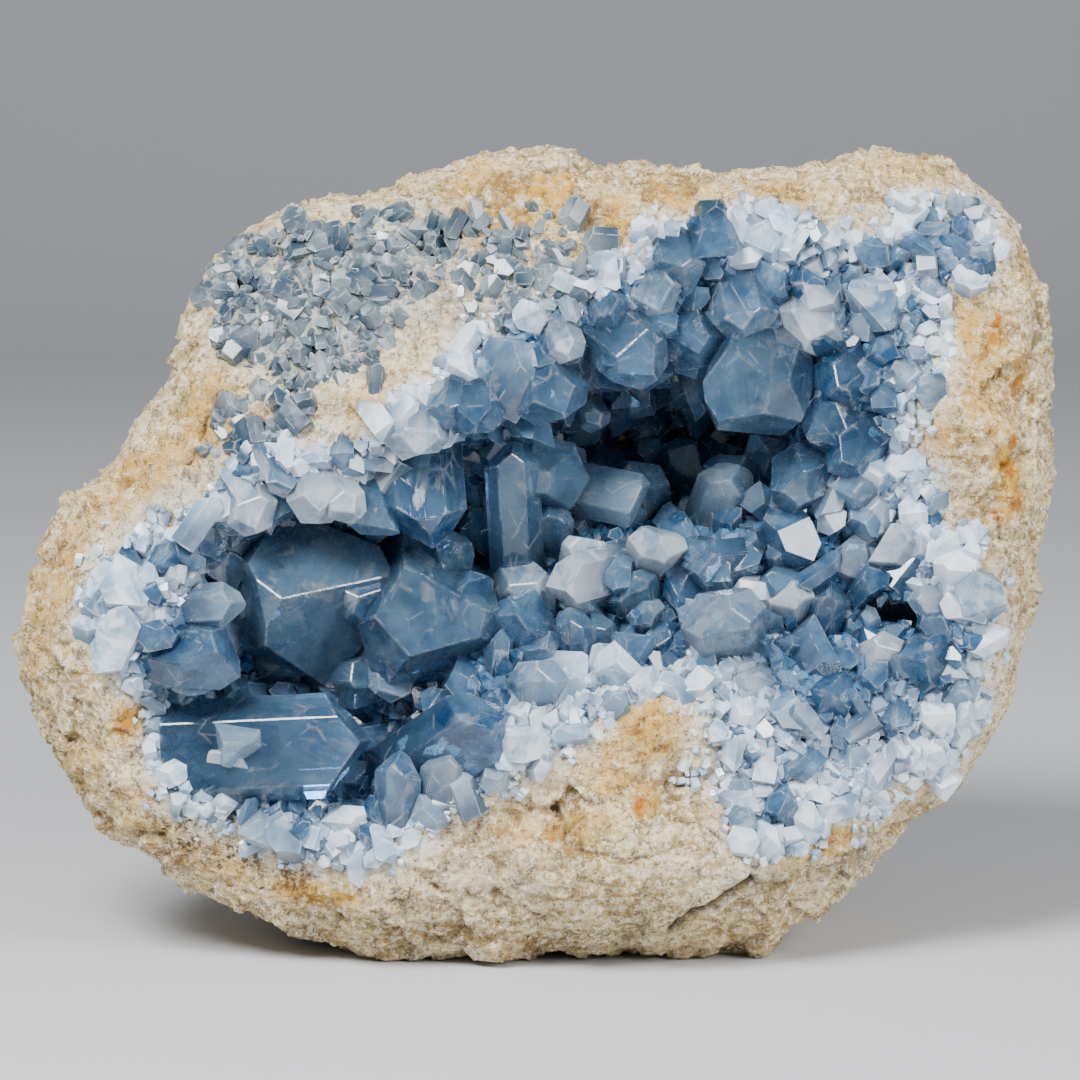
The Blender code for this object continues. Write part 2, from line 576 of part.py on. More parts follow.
def add_large_crystals(bm, surface):
    """Every crystal of the table, and the room that each of them takes up on the face."""
    rng = random.Random(LARGE_SEED)
    taken = []
    for u, v, w, width, thickness, heading, lean, roll, tip in LARGE_CRYSTALS:
        heading, lean, roll = math.radians(heading), math.radians(lean), math.radians(roll)
        long_axis = long_direction(heading, lean)
        end = Vector((u, v, w))
        length = surface.reach_behind(end, long_axis) + LARGE_ROOT
        root = end - long_axis * length * TIP_SHARE
        add_crystal(bm, root, heading, lean, roll, (length, width, thickness), tip, rng)
        middle = end - long_axis * width / 2
        taken.append((middle.x, middle.y, width * LARGE_ROOM_SHARE))
    return taken


def add_small_crystals(bm, surface, edge, taken, room, count, lengths, seed):
    """Fill what the large crystals leave free, each crystal leaning out of the wall it grew on."""
    rng = random.Random(seed)
    low_u, high_u = min(u for u, v in edge), max(u for u, v in edge)
    low_v, high_v = min(v for u, v in edge), max(v for u, v in edge)
    placed = 0
    for _ in range(count * TRIES_PER_CRYSTAL):
        if placed == count:
            break
        u, v = rng.uniform(low_u, high_u), rng.uniform(low_v, high_v)
        length = rng.uniform(*lengths)
        width = length * rng.uniform(*SMALL_WIDTH)
        thickness = width * rng.uniform(*SMALL_THICKNESS)
        turn, lean = rng.uniform(-SMALL_TURN, SMALL_TURN), rng.uniform(*SMALL_LEAN)
        roll, tip = rng.uniform(0, math.pi), rng.choice((WEDGE, RIDGE, BLUNT, DOME))
        if not inside(edge, u, v) or edge_distance(edge, u, v) < room * EDGE_ROOM_SHARE:
            continue
        if any(math.hypot(u - other[0], v - other[1]) < room / 2 + other[2] for other in taken):
            continue
        rim_share = smooth_step(edge_distance(edge, u, v) / RIM_BAND)
        length *= 1 - RIM_SHORTER * (1 - rim_share)
        sunk = length * (SMALL_SUNK[0] + (SMALL_SUNK[1] - SMALL_SUNK[0]) * rim_share)
        slope_u = surface.depth(u + WALL_STEP, v) - surface.depth(u - WALL_STEP, v)
        slope_v = surface.depth(u, v + WALL_STEP) - surface.depth(u, v - WALL_STEP)
        heading = math.atan2(slope_v, slope_u) + turn
        taken.append((u, v, room / 2))
        half = length / 2 * math.cos(lean)
        root_u, root_v = u - half * math.cos(heading), v - half * math.sin(heading)
        root = Vector((root_u, root_v, surface.depth(root_u, root_v) + sunk))
        add_crystal(bm, root, heading, lean, roll, (length, width, thickness), tip, rng)
        placed += 1


def keep_largest_body(bm):
    """Drop crumbs that the cut has parted from the crust."""
    unseen = set(bm.verts)
    bodies = []
    while unseen:
        start = unseen.pop()
        body, queue = {start}, [start]
        while queue:
            vert = queue.pop()
            for link in vert.link_edges:
                other = link.other_vert(vert)
                if other in unseen:
                    unseen.discard(other)
                    body.add(other)
                    queue.append(other)
        bodies.append(body)
    bodies.sort(key=len)
    crumbs = [vert for body in bodies[:-1] for vert in body]
    bmesh.ops.delete(bm, geom=crumbs, context="VERTS")


def make_crust(name, bm, rock, material, most_triangles):
    """Join sheet and crystals in one solid and cut it clear of the rock behind."""
    bmesh.ops.recalc_face_normals(bm, faces=bm.faces)
    mesh = bpy.data.meshes.new(name)
    bm.to_mesh(mesh)
    bm.free()
    crust = add_object(name, mesh)
    cutter_mesh = rock.data.copy()
    for vert, normal in zip(cutter_mesh.vertices, [v.normal.copy() for v in rock.data.vertices]):
        vert.co += normal * ROCK_GAP * MM
    cutter = add_object("rock_with_gap", cutter_mesh)
    cutter.hide_render = True
    cutter.display_type = "WIRE"
    cut = crust.modifiers.new("clear of the rock", "BOOLEAN")
    cut.operation = "DIFFERENCE"
    cut.object = cutter
    cut.use_self = True
    joined = settled_mesh(crust)
    crust.modifiers.clear()
    bpy.data.objects.remove(cutter)

    bm = bmesh.new()
    bm.from_mesh(joined)
    keep_largest_body(bm)
    bmesh.ops.triangulate(bm, faces=bm.faces)
    bm.to_mesh(mesh)
    bm.free()
    thinner = crust.modifiers.new("fewer faces", "DECIMATE")
    thinner.ratio = min(1.0, most_triangles / len(mesh.polygons))
    crust.data = settled_mesh(crust)
    crust.modifiers.clear()
    crust.data.materials.clear()
    crust.data.materials.append(material)
    return crust


def make_main_crust(rock, surface, material):
    """Every crystal of the main hollow."""
    bm = bmesh.new()
    add_sheet(bm, CRUST_EDGE, surface, CRUST_THICKNESS, CRUST_SPACING)
    taken = add_large_crystals(bm, surface)
    add_small_crystals(bm, surface, CRUST_EDGE, taken, SMALL_ROOM, SMALL_COUNT, SMALL_LENGTH,
                       SMALL_SEED)
    return make_crust("crystal_crust", bm, rock, material, CRUST_TRIANGLES)


def make_pocket_crust(rock, surface, material):
    """The small crystals of the shallow pocket."""
    bm = bmesh.new()
    add_sheet(bm, POCKET_EDGE, surface, POCKET_THICKNESS, POCKET_SPACING)
    add_small_crystals(bm, surface, POCKET_EDGE, [], POCKET_ROOM, POCKET_COUNT, POCKET_LENGTH,
                       POCKET_SEED)
    return make_crust("upper_pocket_crust", bm, rock, material, POCKET_TRIANGLES)


for old in list(bpy.data.objects):
    bpy.data.objects.remove(old)

rock_matrix = make_rock()
face = RockSurface(rock_matrix)
make_main_crust(rock_matrix, face, new_material("blue celestite", (0.16, 0.27, 0.40), 0.12, 0.8, 1.63))
make_pocket_crust(rock_matrix, face, new_material("pale celestite", (0.36, 0.44, 0.52), 0.3, 0.5, 1.63))
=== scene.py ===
import math
import random

import bmesh
import bpy
import numpy as np
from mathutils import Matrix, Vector, noise
from mathutils.bvhtree import BVHTree


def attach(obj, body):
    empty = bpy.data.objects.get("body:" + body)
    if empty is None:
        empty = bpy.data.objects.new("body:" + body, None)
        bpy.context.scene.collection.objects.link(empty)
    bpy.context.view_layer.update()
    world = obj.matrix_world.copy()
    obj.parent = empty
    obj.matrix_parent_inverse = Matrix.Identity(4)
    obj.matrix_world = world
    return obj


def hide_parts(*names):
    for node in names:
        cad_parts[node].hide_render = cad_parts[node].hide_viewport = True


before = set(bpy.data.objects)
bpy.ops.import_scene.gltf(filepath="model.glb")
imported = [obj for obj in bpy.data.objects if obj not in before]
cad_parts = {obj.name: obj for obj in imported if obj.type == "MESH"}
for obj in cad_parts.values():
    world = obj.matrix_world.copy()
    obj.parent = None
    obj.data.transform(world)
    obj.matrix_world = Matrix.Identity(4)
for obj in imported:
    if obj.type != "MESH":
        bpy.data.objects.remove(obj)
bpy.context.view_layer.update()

# The limestone nodule: soft sandy limestone, broken open by hand and weathered outside.
# It is one lump of stone, the carrier of everything else. Its broken face is crumbly, with
# ochre stains where iron settled and white, fresh rock along the crystals.
MM = 0.001
FACE_LEAN = math.radians(8.0)
CENTRE_SHIFT = (-0.2, -46.0)
REST_LEVEL = -1.3
FACE_IN = np.array((0.0, math.cos(FACE_LEAN), -math.sin(FACE_LEAN)))
FACE_UP = np.array((0.0, math.sin(FACE_LEAN), math.cos(FACE_LEAN)))
FACE_RIGHT = np.array((1.0, 0.0, 0.0))
FACE_START = np.array((CENTRE_SHIFT[0], CENTRE_SHIFT[1], -REST_LEVEL)) * MM

CRUST_EDGE = [
    (-69.1, 55), (-67.8, 63.7), (-55.3, 69.2), (-47.8, 73.8), (-46, 79.3), (-36.6, 81.3),
    (-24.1, 80), (-21.3, 87.9), (-14.8, 90.2), (-10.1, 98), (4, 103.5), (12.6, 108.5),
    (16.5, 113.2), (32.1, 116.9), (44.6, 112.9), (52.4, 113.6), (59.4, 117.6), (67.2, 118.4),
    (71.4, 115.6), (71.2, 110), (63.3, 104.3), (62.5, 95.7), (57.8, 81.6), (61.7, 75.4),
    (68.8, 61.3), (71.4, 50.4), (68.9, 39.5), (64.6, 31.7), (49.2, 22.3), (32.9, 17.6),
    (28.2, 27), (24.3, 42.6), (18, 44.2), (4, 34), (-11.6, 25.4), (-21, 16.9),
    (-41.3, 18.9), (-56.9, 25.4), (-60, 41.1), (-65, 48.9),
]
POCKET_EDGE = [
    (-50.3, 107.4), (-46, 112.4), (-36.6, 115), (-17.9, 117), (-11.3, 115.5),
    (-10.4, 111.3), (-17.1, 104.3), (-21.8, 94.1), (-30.4, 88.7), (-39.7, 88.2),
    (-46, 94.1), (-50.3, 100.4),
]


def to_face(points):
    """Metres in the part's frame to (u right, v up, w inwards) on the open face, in millimetres."""
    offset = (points - FACE_START) / MM
    return np.stack([offset @ FACE_RIGHT, offset @ FACE_UP, offset @ FACE_IN], axis=-1)


def to_part(face_points):
    """The open face's millimetres back to metres in the part's frame."""
    u, v, w = face_points[..., 0:1], face_points[..., 1:2], face_points[..., 2:3]
    return FACE_START + (u * FACE_RIGHT + v * FACE_UP + w * FACE_IN) * MM


def line_distance(line, u, v):
    """Distance to an open line of points on the face."""
    nearest = np.full(len(u), 1e9)
    for (u0, v0), (u1, v1) in zip(line, line[1:]):
        run_u, run_v = u1 - u0, v1 - v0
        along = np.clip(((u - u0) * run_u + (v - v0) * run_v) / (run_u ** 2 + run_v ** 2), 0, 1)
        nearest = np.minimum(nearest, np.hypot(u - u0 - along * run_u, v - v0 - along * run_v))
    return nearest


def inner_distance(edge, u, v):
    """Distance to a closed edge, positive inside it."""
    inside = np.zeros(len(u), dtype=bool)
    for (u0, v0), (u1, v1) in zip(edge, edge[1:] + edge[:1]):
        if v0 != v1:
            inside ^= ((v0 > v) != (v1 > v)) & (u < u0 + (v - v0) * (u1 - u0) / (v1 - v0))
    nearest = line_distance(edge + edge[:1], u, v)
    return np.where(inside, nearest, -nearest)


def read_mesh(obj):
    """Corner points and triangles of a carried-over solid, with shared corners merged."""
    bm = bmesh.new()
    bm.from_mesh(obj.data)
    bmesh.ops.remove_doubles(bm, verts=bm.verts, dist=0.001 * MM)
    bmesh.ops.triangulate(bm, faces=bm.faces)
    bm.verts.index_update()
    points = np.array([vert.co for vert in bm.verts])
    triangles = np.array([[vert.index for vert in face.verts] for face in bm.faces])
    bm.free()
    return points, triangles


def split_long_edges(points, triangles, longest):
    """Halve every edge that is longer than it may be at its place, and share out the triangles."""
    edges = np.sort(triangles[:, [0, 1, 1, 2, 2, 0]].reshape(-1, 2), axis=1)
    unique, back = np.unique(edges, axis=0, return_inverse=True)
    back = back.reshape(-1, 3)
    middle = (points[unique[:, 0]] + points[unique[:, 1]]) / 2
    length = np.linalg.norm(points[unique[:, 0]] - points[unique[:, 1]], axis=1)
    long = length > longest(middle)
    number = np.full(len(unique), -1)
    number[long] = len(points) + np.arange(long.sum())
    points = np.vstack([points, middle[long]])
    a, b, c = triangles.T
    ab, bc, ca = number[back].T
    has_ab, has_bc, has_ca = ab >= 0, bc >= 0, ca >= 0
    pieces = []

    def take(chosen, *corner_sets):
        for corners in corner_sets:
            pieces.append(np.stack([corner[chosen] for corner in corners], axis=1))

    count = has_ab.astype(int) + has_bc + has_ca
    take(count == 0, (a, b, c))
    take(count == 3, (a, ab, ca), (ab, b, bc), (ca, bc, c), (ab, bc, ca))
    for p, q, r, pq, qr, rp in ((a, b, c, ab, bc, ca), (b, c, a, bc, ca, ab), (c, a, b, ca, ab, bc)):
        only = (pq >= 0) & (qr < 0) & (rp < 0)
        take(only, (p, pq, r), (pq, q, r))
        both = (pq >= 0) & (qr >= 0) & (rp < 0)
        take(both, (pq, q, qr), (p, pq, qr), (p, qr, r))
    return points, np.vstack(pieces)


def vertex_normals(points, triangles):
    """Area-weighted normals."""
    a, b, c = points[triangles[:, 0]], points[triangles[:, 1]], points[triangles[:, 2]]
    face_normals = np.cross(b - a, c - a)
    total = np.zeros_like(points)
    for axis in range(3):
        for corner in range(3):
            total[:, axis] += np.bincount(triangles[:, corner], face_normals[:, axis], len(points))
    return total / np.maximum(np.linalg.norm(total, axis=1, keepdims=True), 1e-20)


def relax(points, triangles, rounds, strength):
    """Round off the corners of a mesh a little."""
    edges = np.unique(np.sort(triangles[:, [0, 1, 1, 2, 2, 0]].reshape(-1, 2), axis=1), axis=0)
    degree = np.bincount(edges.ravel(), minlength=len(points))
    for _ in range(rounds):
        mean = np.empty_like(points)
        for axis in range(3):
            mean[:, axis] = (np.bincount(edges[:, 0], points[edges[:, 1], axis], len(points))
                             + np.bincount(edges[:, 1], points[edges[:, 0], axis], len(points)))
        points = points + strength * (mean / degree[:, None] - points)
    return points


def ease(value):
    """0 to 1 with soft ends."""
    value = np.clip(value, 0, 1)
    return value * value * (3 - 2 * value)


def noise_field(points_mm, span, octaves=1, offset=0.0):
    """Smooth noise of about -1 to 1 whose lumps are span millimetres apart."""
    scaled = points_mm / span + offset
    if octaves == 1:
        return np.array([noise.noise(Vector(p)) for p in scaled])
    return np.array([noise.fractal(Vector(p), 1.0, 2.0, octaves) for p in scaled])


# The noise that bends the chips' edges starts from the clock unless it is given a seed
CHIP_SEED = 4
noise.seed_set(CHIP_SEED)


def chip_field(points_mm, span, offset=0.0):
    """The uneven planes of broken stone: each scattered cell is tilted its own way."""
    heights = []
    for p in points_mm / span + offset:
        place = Vector(p) + 0.25 * noise.noise_vector(Vector(p) * 1.7)
        centre = noise.voronoi(place)[1][0]
        tilt = noise.cell_vector(centre * 9.7) - Vector((0.5, 0.5, 0.5))
        heights.append((place - centre).dot(tilt) * 2.0)
    return np.array(heights)


def patch_share(patches, u, v):
    """How far (u, v) lies inside any of the soft-edged patches: centre, half sizes, turn, strength."""
    share = np.zeros(len(u))
    for centre_u, centre_v, half_u, half_v, turn, strength in patches:
        cos_turn, sin_turn = math.cos(math.radians(turn)), math.sin(math.radians(turn))
        du, dv = u - centre_u, v - centre_v
        radius = np.hypot((du * cos_turn + dv * sin_turn) / half_u,
                          (dv * cos_turn - du * sin_turn) / half_v)
        share = np.maximum(share, strength * ease((1.3 - radius) / 0.8))
    return share


def new_mesh_object(name, points, polygons, smooth=False):
    """A mesh object from points in metres and either triangles or lists of corners."""
    mesh = bpy.data.meshes.new(name)
    mesh.from_pydata(points.tolist(), [], polygons if isinstance(polygons, list) else polygons.tolist())
    mesh.polygons.foreach_set("use_smooth", [smooth] * len(mesh.polygons))
    obj = bpy.data.objects.new(name, mesh)
    bpy.context.scene.collection.objects.link(obj)
    return obj


def add_values(obj, name, values):
    """Keep one number for each point of the mesh, for its material to read."""
    attribute = obj.data.attributes.new(name, "FLOAT", "POINT")
    attribute.data.foreach_set("value", np.asarray(values, dtype=np.float32))


# Stains and cracks of the broken face: centre u, v, half sizes, turn, strength
OCHRE_PATCHES = [
    (-2, 116, 14, 4, 8, 0.8), (36, 119, 10, 2.5, 0, 0.7), (-46, 82, 6, 4, 30, 0.7),
    (-76, 55, 3, 10, 0, 0.6), (70, 90, 5, 12, 5, 0.6), (66, 66, 4, 9, 0, 0.5),
    (2, 120, 9, 3.2, 5, 1), (12.5, 113.5, 3.5, 6, 0, 0.9), (22, 119.5, 7, 3, -8, 0.9),
    (30, 117.5, 5, 3, -20, 0.6), (-8, 121, 6, 2.6, 15, 0.7),
    (-52, 84, 5, 9, -30, 0.8), (-60, 76, 8, 4, 30, 0.8), (-72, 62, 3.5, 9, -10, 0.7),
    (-66, 70.5, 6, 3, 30, 0.6), (-24, 88, 5, 3, 40, 0.5), (-76, 46, 3.5, 8, 0, 0.35),
    (66.5, 101, 2.2, 8, 5, 0.9), (70.5, 96, 2, 3.5, -35, 1), (68.5, 84, 3, 7, 5, 0.6),
    (75, 92, 1.8, 4, -15, 0.8), (72.5, 76, 2.5, 8, 5, 1), (76, 108, 2, 4, -10, 0.4),
    (62, 82, 3, 4, 0, 0.6), (70, 112, 1.5, 4, 0, 0.8), (58, 123, 8, 2.5, 0, 0.5),
    (17, 38, 6.5, 7, 0, 0.75), (16.5, 26.5, 3, 3, 0, 1), (6, 22.5, 6, 3, 10, 0.7),
    (12, 31, 5, 4, 0, 0.6), (-3, 22, 4, 3, 0, 0.5), (31, 22, 6, 2, -45, 0.7),
    (45, 19.5, 5.5, 3, 20, 0.9), (39, 18, 5, 3, 0, 0.5), (58, 26, 5, 3, 35, 0.4),
    (-34, 12, 8, 2.2, -8, 0.9), (-48, 16, 6, 3, -20, 0.5), (-62, 38.5, 3, 4, -40, 0.9),
    (-70, 32, 4, 5, -30, 0.5), (-60, 24, 6, 4, -30, 0.5), (30, 6, 10, 3, 0, 0.3),
]
ORANGE_PATCHES = [
    (16, 25.5, 1.3, 1.8, -20, 1), (13, 30.5, 1.2, 1.2, 0, 0.6), (71, 99.5, 1, 1.6, 0, 1),
    (70, 96.5, 1.2, 2, -35, 0.9), (73, 81, 1.2, 1.2, 0, 1), (72.6, 77, 1.4, 1.4, 0, 1),
    (74, 71.5, 1.6, 1.6, 0, 0.9), (71, 70, 1.2, 1.2, 0, 0.8), (75.2, 90, 0.8, 2.2, -25, 0.9),
    (-62.5, 38.5, 1.4, 2.4, -35, 0.7), (1.7, 21.7, 1.6, 1.4, 0, 0.6), (45, 19, 3, 1.4, 25, 0.4),
]
BROWN_PATCHES = [
    (-54, 22, 5, 7, 35, 0.9), (-46, 17, 6, 3.5, -10, 0.9), (-38, 14.5, 5, 3, -15, 0.8),
    (-34, 10, 4, 4, -40, 0.6), (-62, 30, 3, 4, -40, 0.5), (65, 76, 3, 5, 10, 0.5),
    (68, 68, 2.5, 4, 0, 0.4), (64, 84, 2, 2, 0, 0.4), (34, 12, 8, 3, 25, 0.5),
    (25, 8, 14, 3.5, 0, 0.5), (0, 5, 24, 3, 0, 0.55), (38, 119, 5, 2, -5, 0.7),
    (74, 86, 2, 4, -20, 0.6), (71, 104, 2, 3, -10, 0.5), (-12, 22, 5, 4, 0, 0.35),
]
GREY_PATCHES = [
    (-16, 104, 10, 9, 0, 0.8), (-6, 106, 9, 9, 0, 0.6), (-40, 84, 12, 5, 10, 0.55),
    (-54, 74, 8, 5, 30, 0.6), (62, 90, 4, 8, 0, 0.4), (20, 108, 8, 4, 20, 0.5),
    (30, 14, 8, 5, 0, 0.4), (-5, 14, 12, 5, 0, 0.35), (48, 15, 8, 3, 30, 0.5),
]
# Small hollows between the crystals, sunk into the rock and painted dark as shade: centre u, v, half sizes,
# turn, depth share
HOLLOWS = [
    (-14.8, 111.5, 3.2, 2.8, 0, 1), (-20.5, 107, 1.6, 1.4, 0, 0.6), (-33.5, 95.6, 1.6, 1.6, 0, 0.6),
    (-44.7, 105.8, 2.2, 1.8, 0, 0.7), (-35, 86.5, 1.8, 1.2, 0, 0.5),
    (66.1, 114.3, 1, 2, 0, 1), (62.5, 112.6, 0.9, 1.2, 0, 0.9), (59.4, 107.2, 2.2, 1.8, -30, 1),
    (57.2, 53.8, 5.5, 3.6, -15, 1), (50.8, 54.5, 4, 2, 25, 0.8), (40.5, 49.4, 1.6, 1, 0, 0.8),
    (33.4, 64.8, 2.2, 1.8, 0, 0.8), (-52.8, 38, 1.4, 2, 0, 0.9), (-50, 24.8, 1.6, 1.4, 0, 0.8),
    (-47, 27.2, 2.4, 1.4, 0, 0.8), (-42.4, 63.6, 1.4, 4, 0, 0.9), (-19, 41.5, 6.5, 3, 0, 0.7),
    (15, 68, 2, 3, 0, 0.6), (-13, 77, 1.5, 3, 0, 0.8),
]
# Where small grey crystals lie in the rock: centre u, v, half sizes, turn, strength
GREY_ZONE = [(-3, 107.5, 10, 8.5, 0, 1), (-42, 86, 8, 5, 20, 0.5)]
# Bare rock wall in the main hollow, without druse, painted dark as shade: centre u, v, half sizes, turn,
# strength
BARE_WALL = [(-39.5, 44.8, 7, 4.5, -10, 1), (-20, 38.5, 6, 4, 0, 0.8)]
PLATE_CRACK = [(20.8, 6.4), (22.9, 8.3), (26, 9.7), (29, 11.7), (33.1, 14.1)]
PLATE_TOP = [(10.7, 18.4), (14.1, 17.6), (16.2, 20.2), (18.2, 23.1), (22.3, 23.6), (25.7, 23.1), (27.7, 21.2),
             (30.4, 18.9), (33.8, 15.8)]
PLATE_CENTRE, PLATE_HALF = (17, 14.5), (21, 9)
FINE_CRACKS = [
    [(10.7, 18.4), (13.5, 17.3), (17.4, 18), (21.6, 19.4)],
    [(3, 26), (4.5, 23), (4, 20.5), (8, 18.6), (10.7, 18.4)],
    [(-60.5, 43), (-59, 38), (-60, 34), (-63, 32)],
    [(36, 6.8), (35.2, 8.6), (33.5, 9.8)],
]
# Relief of the stone in millimetres: how far apart its forms are, and how high or deep
CRAG_SPAN, CRAG_HEIGHT = 12.0, 1.0
CHIP_SPAN, CHIP_HEIGHT = 9.0, 1.7
FLAKE_SPAN, FLAKE_HEIGHT = 3.4, 0.8
GRAIN_SPAN, GRAIN_HEIGHT = 1.9, 0.38
CRUMB_SPAN, CRUMB_HEIGHT = 0.85, 0.22
PIT_SPAN, PIT_DEPTH = 2.6, 0.4
HOLLOW_DEPTH, CRACK_DEPTH, FINE_CRACK_DEPTH = 3.0, 1.6, 0.55
CRACK_WIDTH, FINE_CRACK_WIDTH = 0.55, 0.32
# How much smoother the ledge is, and the stone that crystals are rooted in
LEDGE_CALM, ROOTED_CALM = 0.55, 0.65
FIRST_EDGE = 2.2


def even_edge(middle):
    """One length everywhere, for the first rounds of splitting."""
    return np.full(len(middle), FIRST_EDGE * MM)


def longest_rock_edge(middle):
    """Fine where the eye meets the rock, coarse at the back and under the crystals."""
    u, v, w = to_face(middle).T
    edge = np.maximum(inner_distance(CRUST_EDGE, u, v), inner_distance(POCKET_EDGE, u, v) - 30)
    front = np.where(edge > 7.0, 2.6, np.where(edge > 3.0, 1.1, 0.62))
    return np.where(w < 24, front, np.where(w < 50, 1.15, 1.7)) * MM


rock_points, rock_triangles = read_mesh(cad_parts["rock_matrix"])
coarse_rock = (rock_points.copy(), rock_triangles.copy())
for _ in range(2):
    rock_points, rock_triangles = split_long_edges(rock_points, rock_triangles, even_edge)
rock_points = relax(rock_points, rock_triangles, 5, 0.5)
for _ in range(4):
    rock_points, rock_triangles = split_long_edges(rock_points, rock_triangles, longest_rock_edge)
rock_points = relax(rock_points, rock_triangles, 3, 0.5)
normals = vertex_normals(rock_points, rock_triangles)
spots = rock_points / MM
u, v, w = to_face(rock_points).T
crust_distance = inner_distance(CRUST_EDGE, u, v)
pocket_distance = inner_distance(POCKET_EDGE, u, v)
in_front = ease((26 - w) / 8)
plate = np.hypot((u - PLATE_CENTRE[0]) / PLATE_HALF[0], (v - PLATE_CENTRE[1]) / PLATE_HALF[1])
plate = ease((1.15 - plate) / 0.25) * in_front
crags = noise_field(spots, CRAG_SPAN, 3) * CRAG_HEIGHT
chips = chip_field(spots, CHIP_SPAN)
flakes = chip_field(spots, FLAKE_SPAN, 4.4)
grains = noise_field(spots, GRAIN_SPAN, 3, 5.3)
crumbs = noise_field(spots, CRUMB_SPAN, 1, 1.7)
pits = ease((noise_field(spots, PIT_SPAN, 1, 9.1) - 0.34) / 0.2)
calm = 1 - LEDGE_CALM * plate
relief = (crags + chips * CHIP_HEIGHT + flakes * FLAKE_HEIGHT) * calm + grains * GRAIN_HEIGHT * calm
relief = relief + crumbs * CRUMB_HEIGHT - pits * PIT_DEPTH
rooted = np.maximum(ease(1.2 - np.abs(crust_distance + 1) / 5), 0.8 * ease(1 + pocket_distance / 4))
rooted = np.maximum(rooted, patch_share(GREY_ZONE, u, v))
relief *= 1 - ROOTED_CALM * rooted * in_front
hollow = patch_share(HOLLOWS, u, v) * in_front
relief -= hollow * HOLLOW_DEPTH
crack = np.exp(-(line_distance(PLATE_CRACK, u, v) / CRACK_WIDTH) ** 2) * in_front
fine_crack = np.zeros(len(u))
for line in FINE_CRACKS + [PLATE_TOP]:
    fine_crack = np.maximum(fine_crack, np.exp(-(line_distance(line, u, v) / FINE_CRACK_WIDTH) ** 2))
fine_crack *= in_front * (0.6 + 0.6 * grains)
relief -= crack * CRACK_DEPTH + fine_crack * FINE_CRACK_DEPTH
rock_points = rock_points + normals * (relief * MM)[:, None]
rock_points[:, 2] = np.maximum(rock_points[:, 2], 0.0)
limestone = new_mesh_object("limestone_nodule", rock_points, rock_triangles, smooth=True)
for name, patches in (("ochre", OCHRE_PATCHES), ("orange", ORANGE_PATCHES), ("brown", BROWN_PATCHES),
                      ("grey", GREY_PATCHES)):
    add_values(limestone, name, patch_share(patches, u, v) * in_front)
coating = np.maximum(ease(1 + crust_distance / 5.0), 0.5 * ease(1 + pocket_distance / 4))
add_values(limestone, "fresh", coating * in_front)
# How low each point lies in the relief, for the painted shade in the stone's material
add_values(limestone, "low", np.clip(0.5 - (relief - crags * calm) * 0.5, 0, 1))
add_values(limestone, "crack", np.clip(crack + fine_crack * 0.8, 0, 1))
under = np.maximum(ease((crust_distance - 1) / 3.0), 0.4 * ease(pocket_distance / 5))
add_values(limestone, "under", under * in_front)
add_values(limestone, "bare", patch_share(BARE_WALL, u, v) * (w < 50))
# Painted shade: how deep into the hollow a point lies, and the small hollows, where the wall is painted near
# black
add_values(limestone, "deep", np.maximum(ease((w - 28) / 16) * (crust_distance > 0), hollow * 0.8))


def colour(hex_value):
    """An sRGB hex colour as linear red, green, blue and alpha."""
    parts = [int(hex_value[i:i + 2], 16) / 255 for i in (1, 3, 5)]
    return tuple(c / 12.92 if c <= 0.04045 else ((c + 0.055) / 1.055) ** 2.4 for c in parts) + (1.0,)


def new_material(name):
    """An empty material with its Principled shader: returns material, tree, shader."""
    material = bpy.data.materials.new(name)
    material.use_nodes = True
    tree = material.node_tree
    return material, tree, tree.nodes["Principled BSDF"]


def add(tree, kind, settings=None, **links):
    """Add one node, set its values and link its inputs: a socket links, anything else is a value."""
    node = tree.nodes.new(kind)
    for key, value in (settings or {}).items():
        setattr(node, key, value)
    for key, value in links.items():
        key = int(key[1:]) if key[0] == "i" and key[1:].isdigit() else key.replace("_", " ")
        if isinstance(value, bpy.types.NodeSocket):
            tree.links.new(value, node.inputs[key])
        else:
            node.inputs[key].default_value = value
    return node


def blend_colour(tree, share, first, second, how="MIX"):
    """Mix two colours by a share."""
    settings = {"data_type": "RGBA", "blend_type": how}
    return add(tree, "ShaderNodeMix", settings, i0=share, i6=first, i7=second).outputs[2]


def stretch(tree, value, low, high, to_low=0.0, to_high=1.0):
    """Stretch the range low to high of a value to another range, clamped."""
    node = add(tree, "ShaderNodeMapRange", None, Value=value, From_Min=low, From_Max=high,
               To_Min=to_low, To_Max=to_high)
    return node.outputs["Result"]


def calculate(tree, first, second, operation="MULTIPLY"):
    """One sum on two values."""
    return add(tree, "ShaderNodeMath", {"operation": operation}, i0=first, i1=second).outputs[0]


def speckle(tree, place, span_mm, detail=2.0, rough=0.6, distortion=0.0):
    """A noise pattern whose lumps are about span_mm apart."""
    node = add(tree, "ShaderNodeTexNoise", None, Vector=place, Scale=1 / (span_mm * MM), Detail=detail,
               Roughness=rough, Distortion=distortion)
    return node.outputs["Fac"]


def flecks(tree, place, span_mm, detail, rough, start, full):
    """A noise pattern cut to flecks: 0 below start and 1 above full."""
    return stretch(tree, speckle(tree, place, span_mm, detail, rough), start, full)


def stretched(tree, place, scale):
    """The same place with its directions scaled, for a pattern that is drawn out one way."""
    settings = {"operation": "MULTIPLY"}
    return add(tree, "ShaderNodeVectorMath", settings, i0=place, i1=scale).outputs[0]


def value_of(tree, name):
    """A number kept on the mesh."""
    return add(tree, "ShaderNodeAttribute", {"attribute_name": name}).outputs["Fac"]


